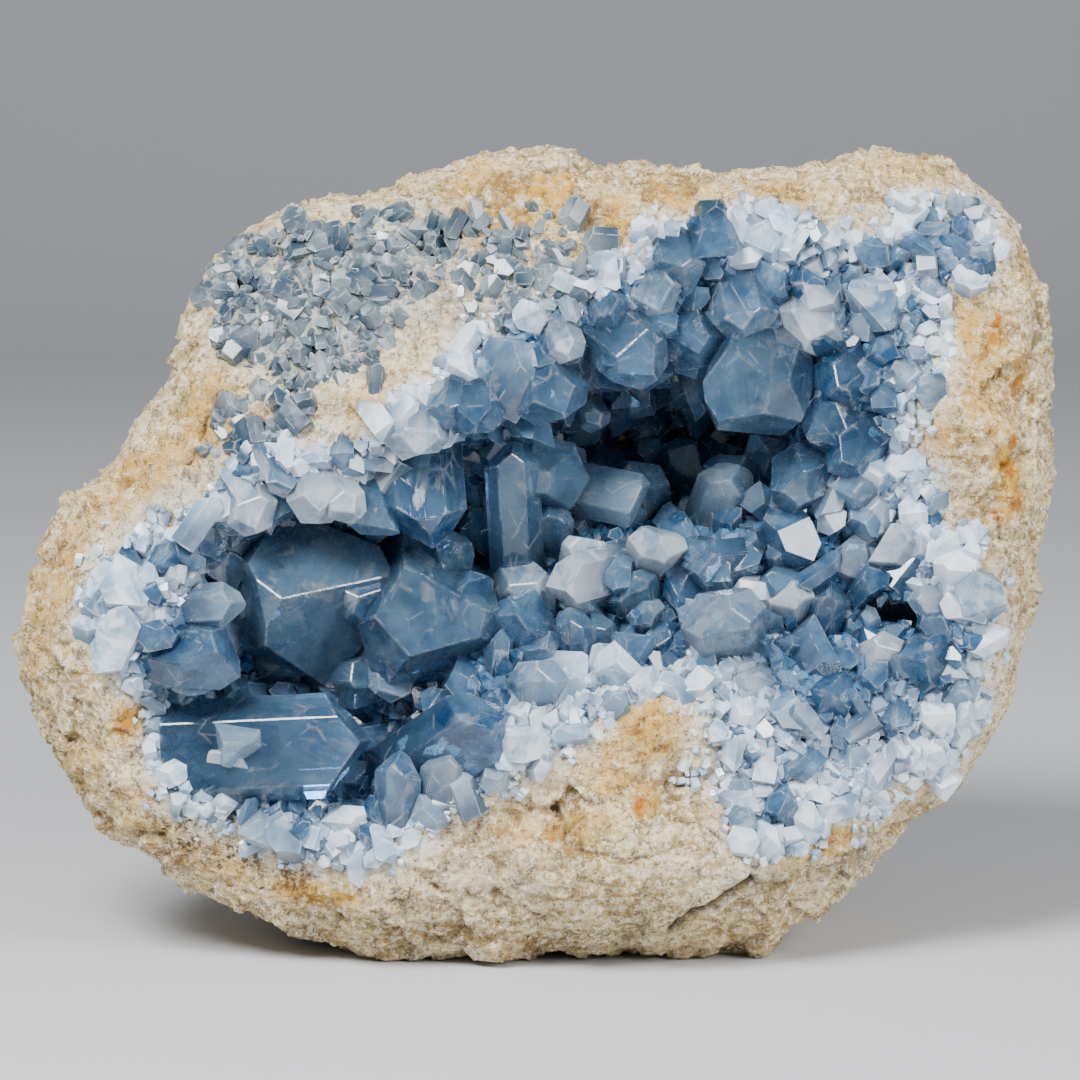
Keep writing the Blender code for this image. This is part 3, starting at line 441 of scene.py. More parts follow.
# Stains and coatings break up into flecks: kept number, strength, fleck size, detail, roughness,
# where the flecks start and are full, colour
STAINS = [
    ("grey", 0.9, 2.2, 3.0, 0.8, 0.44, 0.54, "#9c9e9b"),
    ("fresh", 0.9, 2.4, 3.0, 0.8, 0.38, 0.52, "#ded8c9"),
    ("ochre", 0.9, 3.2, 4.0, 0.8, 0.40, 0.50, "#cb9a30"),
    ("orange", 1.0, 1.8, 2.0, 0.6, 0.38, 0.48, "#b8741a"),
    ("brown", 1.0, 1.8, 4.0, 0.85, 0.50, 0.56, "#564026"),
]

# Weathered sandy limestone: dull, a mix of cream, sand and grey grains half a millimetre wide
stone_material, tree, shader = new_material("weathered sandy limestone")
place = add(tree, "ShaderNodeTexCoord").outputs["Object"]
bedding = stretched(tree, place, (0.4, 0.8, 2.0))
tone = stretch(tree, speckle(tree, bedding, 5.0, 4.0, 0.72, 0.8), 0.36, 0.64)
body = blend_colour(tree, tone, colour("#a3844a"), colour("#e8d6a8"))
grain = flecks(tree, place, 1.3, 3.0, 0.8, 0.49, 0.58)
body = blend_colour(tree, calculate(tree, grain, 0.75), body, colour("#f7edd4"))
sand = flecks(tree, place, 0.7, 2.0, 0.8, 0.54, 0.64)
body = blend_colour(tree, calculate(tree, sand, 0.7), body, colour("#9c7a48"))
for name, strength, span, detail, rough, start, full, tint in STAINS:
    share = calculate(tree, value_of(tree, name), flecks(tree, place, span, detail, rough, start, full))
    body = blend_colour(tree, calculate(tree, share, strength), body, colour(tint))
specks = flecks(tree, place, 2.0, 4.0, 0.95, 0.545, 0.585)
body = blend_colour(tree, calculate(tree, specks, 0.7), body, colour("#594c37"))
# Painted shade: the low places of the broken face are darkened, less so on the pale grains
low = stretch(tree, value_of(tree, "low"), 0.60, 1.0)
low = calculate(tree, low, stretch(tree, grain, 0.0, 1.0, 1.0, 0.45))
body = blend_colour(tree, calculate(tree, low, 0.65), body, colour("#6d5633"))
# Painted shade: the cracks are darkened to a near-black brown
body = blend_colour(tree, value_of(tree, "crack"), body, colour("#30271b"))
film = stretch(tree, speckle(tree, place, 2.0, 3.0), 0.35, 0.65)
wall = blend_colour(tree, film, colour("#35546d"), colour("#86a6c0"))
# Painted shade: the wall darkens to near black deep in the hollow and in the small hollows
wall = blend_colour(tree, value_of(tree, "deep"), wall, colour("#070c12"))
body = blend_colour(tree, value_of(tree, "under"), body, wall)
# Painted shade: the bare rock wall in the main hollow is near black, with pale crumbs of rock
crumb = flecks(tree, place, 0.9, 3.0, 0.8, 0.55, 0.62)
bare_wall_in_painted_shade = blend_colour(tree, crumb, colour("#1d1c1a"), colour("#b9a98a"))
body = blend_colour(tree, value_of(tree, "bare"), body, bare_wall_in_painted_shade)
tree.links.new(body, shader.inputs["Base Color"])
shader.inputs["Roughness"].default_value = 0.92
shader.inputs["Specular IOR Level"].default_value = 0.3
height = speckle(tree, place, 1.0, 4.0, 0.85)
bump = add(tree, "ShaderNodeBump", None, Height=height, Strength=1.0, Distance=0.6 * MM)
tree.links.new(bump.outputs[0], shader.inputs["Normal"])
limestone.data.materials.append(stone_material)
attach(limestone, "root")
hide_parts("rock_matrix")

# The large crystals of the main hollow: celestite, clear grey-blue, grown out of the rock wall.
# Each is a flat-faced block with a two-sided tip. All are grown together at the root.
SIDE_PRISM = math.radians(38.0)
PRISM_TIP = math.radians(38.0)
DOME_TIP = math.radians(50.6)
DEEP, CLEAR, CLOUDY, FROSTED = "deep", "clear", "cloudy", "frosted"
# How much of the ridge of its tip a crystal keeps between its two end faces
WEDGE, RIDGE, BLUNT, DOME = 1.0, 0.7, 0.15, 0.0
# Tip u, v, w, then width, thickness, heading across the face, lean to the viewer, turn, tip, look
LARGE_CRYSTALS = [
    (-30.5, 57.8, 4, 22.5, 22, 12, 67, 0, RIDGE, DEEP),
    (-23.8, 59, 5, 9, 8, 35, 60, 15, RIDGE, CLEAR),
    (-14.3, 48.3, 3, 19.5, 20.5, -75, 62, -90, RIDGE, DEEP),
    (-8, 58, 5.5, 7, 7, 15, 55, 0, RIDGE, CLEAR),
    (-23.8, 35.3, 3, 15.4, 9, 3, 10, 0, WEDGE, DEEP),
    (-49, 36.5, 0.5, 9, 7, 150, 46, 25, RIDGE, CLOUDY),
    (-48.5, 29.5, 0.5, 8, 7, 215, 55, 0, RIDGE, FROSTED),
    (-46.3, 47, -3, 10.5, 9, -10, 42, 30, RIDGE, CLEAR),
    (-52.5, 44.5, -1, 8, 7, -110, 52, 0, RIDGE, CLOUDY),
    (-45.1, 56.3, 1.5, 6.5, 5, 5, 28, 0, WEDGE, CLOUDY),
    (-31.9, 69, -2, 8, 7, -75, 45, 20, BLUNT, FROSTED),
    (-27, 70, -2.5, 6, 6, -50, 45, 0, BLUNT, FROSTED),
    (-24.1, 66.7, 2, 7, 6, -75, 30, 20, DOME, CLEAR),
    (-16, 65.3, 3, 12, 8, -85, 25, 0, WEDGE, CLEAR),
    (-36.6, 70, 1, 7, 5, -60, 35, 0, DOME, CLEAR),
    (-41.6, 67.3, -2, 7, 6, -70, 45, 0, BLUNT, FROSTED),
    (-10, 64.8, 11, 8, 7, 30, 40, 20, BLUNT, CLEAR),
    (0.9, 60.6, 10, 9, 8, 50, 50, 0, BLUNT, CLOUDY),
    (-0.7, 56.7, 6, 10, 8, 70, 40, 10, WEDGE, CLEAR),
    (-24.1, 44.2, 13, 9, 7, 0, 40, 20, WEDGE, CLEAR),
    (-19.4, 42.6, 10, 7, 6, -40, 48, 30, BLUNT, CLOUDY),
    (-5.3, 40, -3.5, 13, 7.5, 36, 40, -10, RIDGE, CLEAR),
    (-20.4, 33.6, 0, 6.5, 6, 88, 22, 10, WEDGE, CLOUDY),
    (-13.2, 34, 0, 6, 5, 80, 26, 0, WEDGE, CLOUDY),
    (-3.7, 81.2, 7.5, 8.7, 5.5, 93, 24, 0, WEDGE, CLEAR),
    (5.5, 77.3, 9, 11, 10, 24, 60, 0, RIDGE, CLEAR),
    (10.2, 83.2, 16, 5, 4, -60, 45, 0, BLUNT, CLOUDY),
    (18, 71.5, 12, 7.5, 5, -12, 30, 0, WEDGE, CLOUDY),
    (14.9, 78.2, 20, 9, 8, 100, 45, 20, BLUNT, CLEAR),
    (25.8, 80.9, 28, 8, 7, 60, 40, 0, BLUNT, CLEAR),
    (31.3, 77, 14, 9, 7, 70, 40, 10, WEDGE, CLOUDY),
    (2.7, 72.3, 13, 7, 6, 80, 40, 0, WEDGE, CLEAR),
    (2.7, 58.7, 6, 9, 6, 195, 40, 20, BLUNT, FROSTED),
    (7.9, 66.8, 9, 6, 5, 80, 50, 0, BLUNT, FROSTED),
    (19.4, 66.8, 7, 8, 7, 75, 62, 0, BLUNT, FROSTED),
    (14.1, 61.3, 9, 7.5, 6, 110, 45, 0, BLUNT, CLEAR),
    (25.4, 66, 8, 6.5, 6, 90, 62, 0, BLUNT, CLEAR),
    (23.3, 61.3, 8, 7.5, 5, 185, 30, 20, WEDGE, CLEAR),
    (17.2, 56.7, 9, 6, 5.5, 90, 62, 0, BLUNT, CLOUDY),
    (28.5, 57.3, -1, 12, 8, 102, 60, 5, BLUNT, CLOUDY),
    (6, 55.7, 6, 5.5, 5, 93, 30, 0, WEDGE, CLEAR),
    (0.9, 48, -4, 8.5, 6, 92, 46, 0, BLUNT, CLOUDY),
    (9, 53.6, 9, 5, 4, 110, 40, 0, WEDGE, CLEAR),
    (15.3, 52.3, 5, 5.5, 4.5, 84, 42, 0, DOME, CLEAR),
    (4.8, 84, -4, 11, 8, -60, 40, 10, BLUNT, CLEAR),
    (18.3, 91.3, -3, 10, 8, -42, 38, 10, BLUNT, CLEAR),
    (14.9, 90.2, -2, 7, 6, -65, 40, 0, WEDGE, CLEAR),
    (24.6, 92.9, 2, 10, 7, -75, 46, 0, BLUNT, CLEAR),
    (32, 84.3, -3, 15, 13, -112, 50, 52, RIDGE, DEEP),
    (32.9, 96.8, 0, 9, 6, -80, 45, 0, BLUNT, CLOUDY),
    (5.5, 92.9, -3, 6, 5, -70, 50, 0, BLUNT, FROSTED),
    (12.3, 98.8, -1, 6.5, 5, -60, 46, 0, WEDGE, CLEAR),
    (18.8, 100.7, 0, 8, 6, -75, 50, 0, BLUNT, CLOUDY),
    (27.7, 109.4, 2, 6, 5, -85, 45, 0, DOME, CLEAR),
    (22.7, 104.7, 1, 8, 6, -80, 45, 0, WEDGE, CLEAR),
    (-8.8, 82.6, -4, 8, 7, -88, 46, 0, BLUNT, CLEAR),
    (-12.8, 84, -4, 6, 5, -100, 46, 0, WEDGE, CLEAR),
    (-17.6, 78.5, -3, 8, 6, -95, 38, 0, BLUNT, FROSTED),
    (41.4, 95.7, 3, 10, 6, -100, 50, 10, BLUNT, FROSTED),
    (41.4, 100.7, 4, 8, 5, -120, 52, 0, BLUNT, FROSTED),
    (43.8, 87.9, 4, 8, 7, -140, 42, 0, WEDGE, CLEAR),
    (49.2, 88.7, 5, 7, 6, -120, 50, 0, BLUNT, CLOUDY),
    (56.6, 90.2, 4, 4.5, 4.5, -90, 65, 0, BLUNT, CLOUDY),
    (41.4, 81.6, 4, 9, 7, -150, 42, 10, BLUNT, CLEAR),
    (45.3, 77.3, 4, 8.5, 4.5, -142, 34, 0, WEDGE, CLEAR),
    (26.6, 77, 17, 8, 7, 150, 36, 10, BLUNT, CLEAR),
    (36.6, 73.8, 5, 9.5, 8, 200, 42, 25, BLUNT, CLEAR),
    (45.8, 73.2, 6, 7.5, 6, 190, 45, 30, WEDGE, CLOUDY),
    (49.4, 69.5, 7, 8, 6, 175, 50, 0, BLUNT, FROSTED),
    (53.3, 65.6, 7.5, 7, 5.5, 160, 45, 15, DOME, FROSTED),
    (47.2, 65.2, 7.5, 7.5, 6, 130, 50, 0, BLUNT, CLOUDY),
    (38.8, 59.8, 6, 8, 6, 95, 52, 20, BLUNT, FROSTED),
    (39.3, 68.1, 8.5, 5.5, 4.5, 130, 52, 0, WEDGE, CLEAR),
    (37.8, 66.5, 9, 6.5, 5, 100, 46, 0, WEDGE, CLOUDY),
    (45.5, 59.4, 7.5, 6, 5, 82, 32, 0, WEDGE, CLEAR),
    (57.3, 56.5, 5.5, 5, 4, 180, 26, 0, WEDGE, CLOUDY),
    (52.3, 50.2, 5.5, 7.5, 6, 120, 60, 0, BLUNT, FROSTED),
    (57.2, 48, 3.5, 9, 5.5, 168, 50, 0, WEDGE, CLEAR),
    (58.2, 40.3, 7, 5.5, 4.5, 130, 55, 0, DOME, CLOUDY),
]
ROOT_DEPTH = 3.0
LONGEST_REACH = 20.0
WORN_EDGE = 0.16
# How uneven the faces of a crystal are: shares of their true distance from its axis or root
FLAT_UNEVEN, SIDE_UNEVEN = (0.85, 1.1), (0.8, 1.14)
WEDGE_UNEVEN, DOME_UNEVEN = (0.88, 1.02), (0.86, 1.08)
LARGE_SEED = 11
CELESTITE_IOR = 1.62

rock_rays = BVHTree.FromPolygons(coarse_rock[0].tolist(), coarse_rock[1].tolist())


def reach_to_rock(tip, long_axis):
    """How far behind its tip a crystal meets the rock wall, in millimetres."""
    start = Vector(to_part(tip))
    back = Vector(to_part(tip - long_axis)) - start
    hit = rock_rays.ray_cast(start, back.normalized())[0]
    return LONGEST_REACH if hit is None else (hit - start).length / MM


def solid_from_planes(planes):
    """Corners and flat faces of the solid that the planes (normal, reach) enclose."""
    normals = np.array([plane[0] for plane in planes], dtype=float)
    reaches = np.array([plane[1] for plane in planes], dtype=float)
    corners, touching = [], []
    count = len(normals)
    for i in range(count):
        for j in range(i + 1, count):
            for k in range(j + 1, count):
                three = normals[[i, j, k]]
                if abs(np.linalg.det(three)) < 1e-6:
                    continue
                corner = np.linalg.solve(three, reaches[[i, j, k]])
                if np.any(normals @ corner > reaches + 1e-7):
                    continue
                known = [n for n, other in enumerate(corners) if np.abs(other - corner).max() < 1e-6]
                if known:
                    touching[known[0]].update((i, j, k))
                else:
                    corners.append(corner)
                    touching.append({i, j, k})
    corners = np.array(corners)
    faces = []
    for i in range(count):
        ring = [n for n, here in enumerate(touching) if i in here]
        if len(ring) < 3:
            continue
        middle = corners[ring].mean(axis=0)
        ahead = corners[ring[0]] - middle
        ahead /= np.linalg.norm(ahead)
        beside = np.cross(normals[i], ahead)
        angles = [math.atan2((corners[n] - middle) @ beside, (corners[n] - middle) @ ahead) for n in ring]
        faces.append([ring[n] for n in np.argsort(angles)[::-1]])
    return corners, faces


def crystal_solid(length, width, thickness, draw, tip, chips=0):
    """One celestite crystal along +X from its root, with a few chipped corners."""
    planes = [((-1, 0, 0), 0.0)]
    side_reach = 0.5 * width * math.cos(SIDE_PRISM) + 0.16 * thickness * math.sin(SIDE_PRISM)
    for up in (-1, 1):
        planes.append(((0, 0, up), thickness / 2 * draw.uniform(*FLAT_UNEVEN)))
        for side in (-1, 1):
            normal = (0, side * math.cos(SIDE_PRISM), up * math.sin(SIDE_PRISM))
            planes.append((normal, side_reach * draw.uniform(*SIDE_UNEVEN)))
    for side in (-1, 1):
        if tip > DOME:
            normal = (math.cos(PRISM_TIP), side * math.sin(PRISM_TIP), 0)
            planes.append((normal, length * math.cos(PRISM_TIP) * draw.uniform(*WEDGE_UNEVEN)))
        if tip < WEDGE:
            end_reach = length * math.cos(DOME_TIP) + tip * 0.5 * thickness * math.sin(DOME_TIP)
            normal = (math.cos(DOME_TIP), 0, side * math.sin(DOME_TIP))
            planes.append((normal, end_reach * draw.uniform(*DOME_UNEVEN)))
    for _ in range(chips):
        chip = np.array((draw.uniform(0.3, 1), draw.uniform(-1, 1), draw.uniform(-1, 1)))
        chip /= np.linalg.norm(chip)
        reach = abs(chip[0]) * length * 0.8 + abs(chip[1]) * width * 0.42 + abs(chip[2]) * thickness * 0.42
        planes.append((tuple(chip), reach * draw.uniform(0.96, 1.08)))
    return solid_from_planes(planes)


def fan_faces(corners, faces, bevel=0.0):
    """Bevel the edges and split each face round its middle, where rim is how far its edge is."""
    bm = bmesh.new()
    verts = [bm.verts.new(corner) for corner in corners]
    for face in faces:
        bm.faces.new([verts[n] for n in face])
    if bevel:
        bmesh.ops.bevel(bm, geom=list(bm.edges), offset=bevel, segments=1, affect="EDGES", profile=0.5,
                        clamp_overlap=True)
    smallest = 4 * bevel
    wide = [face for face in bm.faces if face.calc_area() > smallest ** 2]
    middles = bmesh.ops.poke(bm, faces=wide, center_mode="MEAN")["verts"]
    bm.verts.index_update()
    rim = np.zeros(len(bm.verts))
    for middle in middles:
        reach = [2 * face.calc_area() / max(edge.calc_length(), 1e-9) for face in middle.link_faces
                 for edge in face.edges if middle not in edge.verts]
        rim[middle.index] = sum(reach) / len(reach)
    points = np.array([vert.co for vert in bm.verts])
    polygons = [[vert.index for vert in face.verts] for face in bm.faces]
    bm.free()
    return points, polygons, rim


def crystal_axes(heading, lean, roll):
    """Long, wide and thin directions on the face of a crystal that points heading and leans out."""
    long_axis = np.array((math.cos(lean) * math.cos(heading), math.cos(lean) * math.sin(heading),
                          -math.sin(lean)))
    across = np.array((-math.sin(heading), math.cos(heading), 0.0))
    third = np.cross(long_axis, across)
    wide = across * math.cos(roll) + third * math.sin(roll)
    return np.stack([long_axis, wide, np.cross(long_axis, wide)])


def keep_growth(obj, tint, rim, along, grown):
    """Keep what a crystal's material reads at each point: see celestite."""
    add_values(obj, "tint", tint)
    add_values(obj, "rim", rim)
    add_values(obj, "along", along)
    attribute = obj.data.attributes.new("grown", "FLOAT_VECTOR", "POINT")
    attribute.data.foreach_set("vector", np.asarray(grown, dtype=np.float32).ravel())


draw = random.Random(LARGE_SEED)
large = {DEEP: [], CLEAR: [], CLOUDY: [], FROSTED: []}
for u0, v0, w0, width, thickness, heading, lean, roll, tip, look in LARGE_CRYSTALS:
    axes = crystal_axes(math.radians(heading), math.radians(lean), math.radians(roll))
    end = np.array((u0, v0, w0))
    length = reach_to_rock(end, axes[0]) + ROOT_DEPTH
    local, polygons, rim = fan_faces(*crystal_solid(length, width, thickness, draw, tip, chips=1), WORN_EDGE)
    placed = to_part(end - axes[0] * length * 0.97 + local @ axes)
    shift = np.array([draw.uniform(0, 500) for _ in range(3)])
    large[look].append((placed, polygons, rim, local[:, 0] / length, (local + shift) * MM, draw.random()))
large_pieces = {}
for look, crystals in large.items():
    starts = np.cumsum([0] + [len(crystal[0]) for crystal in crystals])
    polygons = [[n + start for n in face] for start, crystal in zip(starts, crystals) for face in crystal[1]]
    points = np.vstack([crystal[0] for crystal in crystals])
    piece = new_mesh_object(look + "_large_crystals", points, polygons)
    rim, along, grown = (np.concatenate([crystal[n] for crystal in crystals]) for n in (2, 3, 4))
    tint = np.concatenate([np.full(len(crystal[0]), crystal[5]) for crystal in crystals])
    keep_growth(piece, tint, rim, along, grown)
    large_pieces[look] = piece


def painted_fracture_reflections(tree, place, span_mm):
    """Painted reflection: one random tone for each flat-sided cell, standing in for the light that inner
    fractures reflect in a crystal.
    """
    cells = add(tree, "ShaderNodeTexVoronoi", None, Vector=place, Scale=1 / (span_mm * MM))
    return add(tree, "ShaderNodeSeparateColor", None, Color=cells.outputs["Color"]).outputs[0]


def celestite(name, deep, light, cloudiness, roughness, see_through, large=True):
    """Natural celestite: glassy faces over a body with milky veils, inner fractures and worn edges, with
    painted shade towards the root and, in large crystals, painted reflections from the inner fractures.
    """
    material, tree, shader = new_material(name)
    grown = add(tree, "ShaderNodeAttribute", {"attribute_name": "grown"}).outputs["Vector"]
    drawn_out = stretched(tree, grown, (0.5, 1.0, 1.0))
    tone = flecks(tree, drawn_out, 4.0, 2.0, 0.65, 0.38, 0.62)
    tone = calculate(tree, calculate(tree, tone, 0.45), calculate(tree, value_of(tree, "tint"), 0.5), "ADD")
    # Large crystals add painted reflections from their inner fractures
    if large:
        tone = calculate(tree, tone, calculate(tree, painted_fracture_reflections(tree, drawn_out, 4.0), 0.4), "ADD")
    body = blend_colour(tree, stretch(tree, tone, 0.15, 0.95), colour(deep), colour(light))
    cloud = speckle(tree, drawn_out, 6.0, 3.0, 0.7, 0.6)
    cloud = stretch(tree, cloud, 0.58 - 0.16 * cloudiness, 0.70 - 0.16 * cloudiness)
    body = blend_colour(tree, calculate(tree, cloud, 0.7), body, colour("#dde7ef"))
    # Painted shade: each crystal darkens towards its root, where it grows in among the others
    root = stretch(tree, value_of(tree, "along"), 0.25, 0.85, 0.75, 0.0)
    body = blend_colour(tree, root, body, colour("#2b4d6b"))
    rim = stretch(tree, value_of(tree, "rim"), 0.0, 0.3, 1.0, 0.0)
    rim = calculate(tree, rim, stretch(tree, speckle(tree, grown, 1.6, 1.0), 0.45, 0.6))
    body = blend_colour(tree, calculate(tree, rim, 0.6), body, colour("#eaf0f4"))
    if large:
        seams = add(tree, "ShaderNodeTexVoronoi", {"feature": "DISTANCE_TO_EDGE"}, Vector=drawn_out,
                    Scale=1 / (5.0 * MM))
        seam = stretch(tree, seams.outputs["Distance"], 0.0, 0.03, 1.0, 0.0)
        seam = calculate(tree, seam, stretch(tree, speckle(tree, grown, 3.0, 1.0), 0.5, 0.6))
        body = blend_colour(tree, calculate(tree, seam, 0.6), body, colour("#f2f6f9"))
        height = speckle(tree, stretched(tree, grown, (0.06, 1.0, 1.0)), 0.9, 1.0)
        bump = add(tree, "ShaderNodeBump", None, Height=height, Strength=0.25, Distance=0.06 * MM)
        tree.links.new(bump.outputs[0], shader.inputs["Normal"])
    tree.links.new(body, shader.inputs["Base Color"])
    frost = calculate(tree, cloud, rim, "MAXIMUM")
    tree.links.new(stretch(tree, frost, 0.0, 1.0, roughness, roughness + 0.3), shader.inputs["Roughness"])
    shader.inputs["IOR"].default_value = CELESTITE_IOR
    shader.inputs["Transmission Weight"].default_value = see_through
    return material


def tint_inside(material, tint, density):
    """Light loses the colours other than blue on its way through a clear crystal."""
    tree = material.node_tree
    absorb = add(tree, "ShaderNodeVolumeAbsorption", None, Color=colour(tint), Density=density)
    output = [n for n in tree.nodes if n.type == "OUTPUT_MATERIAL"][0]
    tree.links.new(absorb.outputs[0], output.inputs["Volume"])


# Glassy grey-blue celestite, seen deep into, with lighter seams where it healed after cracking
clear_celestite = celestite("clear blue celestite", "#336c9f", "#88b8dd", 0.0, 0.04, 0.8)
# The thickest crystals, where the light goes deep enough to come out a darker grey-blue
deep_celestite = celestite("deep blue celestite", "#386fa0", "#8cbbde", 0.0, 0.04, 0.82)
tint_inside(deep_celestite, "#5f9bd0", 50.0)
# Milky blue celestite: its cloudy body scatters the light, so it looks lighter and softer
cloudy_celestite = celestite("cloudy blue celestite", "#4f82ae", "#abcae2", 0.4, 0.14, 0.68)
# Frosted celestite: so many fine cracks that it is pale grey-blue, with less light coming through
frosted_celestite = celestite("frosted pale celestite", "#7296b5", "#c6d5e2", 0.75, 0.24, 0.5)
for look, material in ((DEEP, deep_celestite), (CLEAR, clear_celestite), (CLOUDY, cloudy_celestite),
                       (FROSTED, frosted_celestite)):
    large_pieces[look].data.materials.append(material)
    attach(large_pieces[look], "root")
    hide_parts("crystal_crust")

# The small crystals between the large ones: the same celestite, about three thousand blades up
# to 13 mm long, grown square out of the wall. They whiten towards the broken rim.
SHAPE_COUNT = 24
SHAPE_UNEVEN = (0.75, 1.3)
BLADE_WIDTH, BLADE_THICKNESS, BLADE_SPREAD = 0.52, 0.38, 0.42
BLADE_SEED, FIELD_SEED = 3, 21
BLADE_PLACES, BLADE_LIMIT = 16000, 3200
# The wall deeper than this, and what faces away from the viewer, carries no small crystals
DEEPEST_WALL, FACING = 45, 0.05


def blade_shapes(seed):
    """A few crystal shapes of length 1 to be scaled and turned."""
    draw = random.Random(seed)
    shapes = []
    for _ in range(SHAPE_COUNT):
        tip = draw.choice((WEDGE, RIDGE, BLUNT, DOME))
        width = BLADE_WIDTH * draw.uniform(*SHAPE_UNEVEN)
        thickness = BLADE_THICKNESS * draw.uniform(*SHAPE_UNEVEN)
        shapes.append(fan_faces(*crystal_solid(1.0, width, thickness, draw, tip)))
    return shapes


def needle_shapes(seed):
    """The smallest crystals: four sides and a slanting tip."""
    draw = random.Random(seed)
    shapes = []
    for _ in range(SHAPE_COUNT):
        width, thickness = draw.uniform(0.25, 0.4), draw.uniform(0.2, 0.34)
        planes = [((-1, 0, 0), 0.0), ((0, 1, 0), width), ((0, -1, 0), width), ((0, 0, 1), thickness),
                  ((0, 0, -1), thickness)]
        lean = math.radians(draw.uniform(34, 50))
        for side in (-1, 1):
            normal = (math.cos(lean), side * math.sin(lean), 0)
            planes.append((normal, math.cos(lean) * draw.uniform(0.85, 1.0)))
        corners, faces = solid_from_planes(planes)
        shapes.append((corners, faces, np.zeros(len(corners))))
    return shapes


def scatter_on(points, triangles, accept, count, rng):
    """Spread points over the rock's front by area: place on the face, outward normal."""
    a, b, c = (to_face(points[triangles[:, n]]) for n in range(3))
    cross = np.cross(c - a, b - a)
    area = np.linalg.norm(cross, axis=1) / 2
    normal = cross / np.maximum(2 * area[:, None], 1e-12)
    middle = (a + b + c) / 3
    weight = area * accept(middle) * (middle[:, 2] < DEEPEST_WALL) * (normal[:, 2] < FACING)
    chosen = rng.choice(len(triangles), size=count, p=weight / weight.sum())
    share = rng.random((count, 2))
    flip = share.sum(axis=1) > 1
    share[flip] = 1 - share[flip]
    spots = a[chosen] + share[:, :1] * (b - a)[chosen] + share[:, 1:] * (c - a)[chosen]
    return spots, normal[chosen]


def turned_axes(normal, spread, rng):
    """Long, wide and thin directions for crystals that grow about along each normal."""
    count = len(normal)
    aim = normal + rng.normal(0, spread, (count, 3))
    aim /= np.linalg.norm(aim, axis=1, keepdims=True)
    helper = rng.normal(0, 1, (count, 3))
    wide = np.cross(aim, helper)
    wide /= np.linalg.norm(wide, axis=1, keepdims=True)
    return np.stack([aim, wide, np.cross(aim, wide)], axis=1)


def crystal_field(name, shapes, roots, axes, length, widen, rng):
    """Join many crystals in one mesh: each a shape scaled, turned and set on its root."""
    points, loops, totals, tints, rims, along, grown = [], [], [], [], [], [], []
    base = 0
    pick = rng.integers(0, len(shapes), len(roots))
    for number, (corners, faces, rim) in enumerate(shapes):
        mine = np.where(pick == number)[0]
        if len(mine) == 0:
            continue
        scale = np.stack([length[mine], length[mine] * widen[mine], length[mine] * widen[mine]], axis=1)
        local = corners[None] * scale[:, None, :]
        placed = roots[mine][:, None, :] + np.einsum("mck,mkx->mcx", local, axes[mine])
        points.append(placed.reshape(-1, 3))
        flat = np.concatenate([np.array(face) for face in faces])
        sizes = np.array([len(face) for face in faces])
        starts = base + np.arange(len(mine)) * len(corners)
        loops.append((flat[None] + starts[:, None]).ravel())
        totals.append(np.tile(sizes, len(mine)))
        tints.append(np.repeat(rng.random(len(mine)), len(corners)))
        rims.append((rim[None] * (length[mine] * widen[mine])[:, None]).ravel())
        along.append(np.tile(corners[:, 0], len(mine)))
        grown.append((local + rng.uniform(0, 500, (len(mine), 1, 3))).reshape(-1, 3) * MM)
        base += len(mine) * len(corners)
    points = to_part(np.concatenate(points))
    loops, totals = np.concatenate(loops), np.concatenate(totals)
    mesh = bpy.data.meshes.new(name)
    mesh.vertices.add(len(points))
    mesh.vertices.foreach_set("co", points.astype(np.float32).ravel())
    mesh.loops.add(len(loops))
    mesh.loops.foreach_set("vertex_index", loops.astype(np.int32))
    mesh.polygons.add(len(totals))
    mesh.polygons.foreach_set("loop_start", (np.cumsum(totals) - totals).astype(np.int32))
    mesh.update(calc_edges=True)
    mesh.shade_flat()
    obj = bpy.data.objects.new(name, mesh)
    bpy.context.scene.collection.objects.link(obj)
    keep_growth(obj, *(np.concatenate(values) for values in (tints, rims, along, grown)))
    return obj


def lower_right(u, v):
    """1 in the lower right of the face, where the crystals are small and white."""
    return ease((u - 24) / 14) * ease((58 - v) / 14)


def upper_right(u, v):
    """1 at the upper right of the face."""
    return ease((u - 30) / 14) * ease((v - 92) / 10)


def thin_out(spots, spacing, limit):
    """Keep points that are not too close to one another."""
    kept, cells = [], {}
    for number, (spot, room) in enumerate(zip(spots, spacing)):
        key = tuple(int(math.floor(x / 4.0)) for x in spot)
        near = [other for du in (-1, 0, 1) for dv in (-1, 0, 1) for dw in (-1, 0, 1)
                for other in cells.get((key[0] + du, key[1] + dv, key[2] + dw), ())]
        if all(np.linalg.norm(spot - spots[other]) > min(room, spacing[other]) for other in near):
            kept.append(number)
            cells.setdefault(key, []).append(number)
            if len(kept) == limit:
                break
    return np.array(kept)


def in_crust(middle):
    """1 inside the crust's edge."""
    return (inner_distance(CRUST_EDGE, middle[:, 0], middle[:, 1]) > 0.3).astype(float)


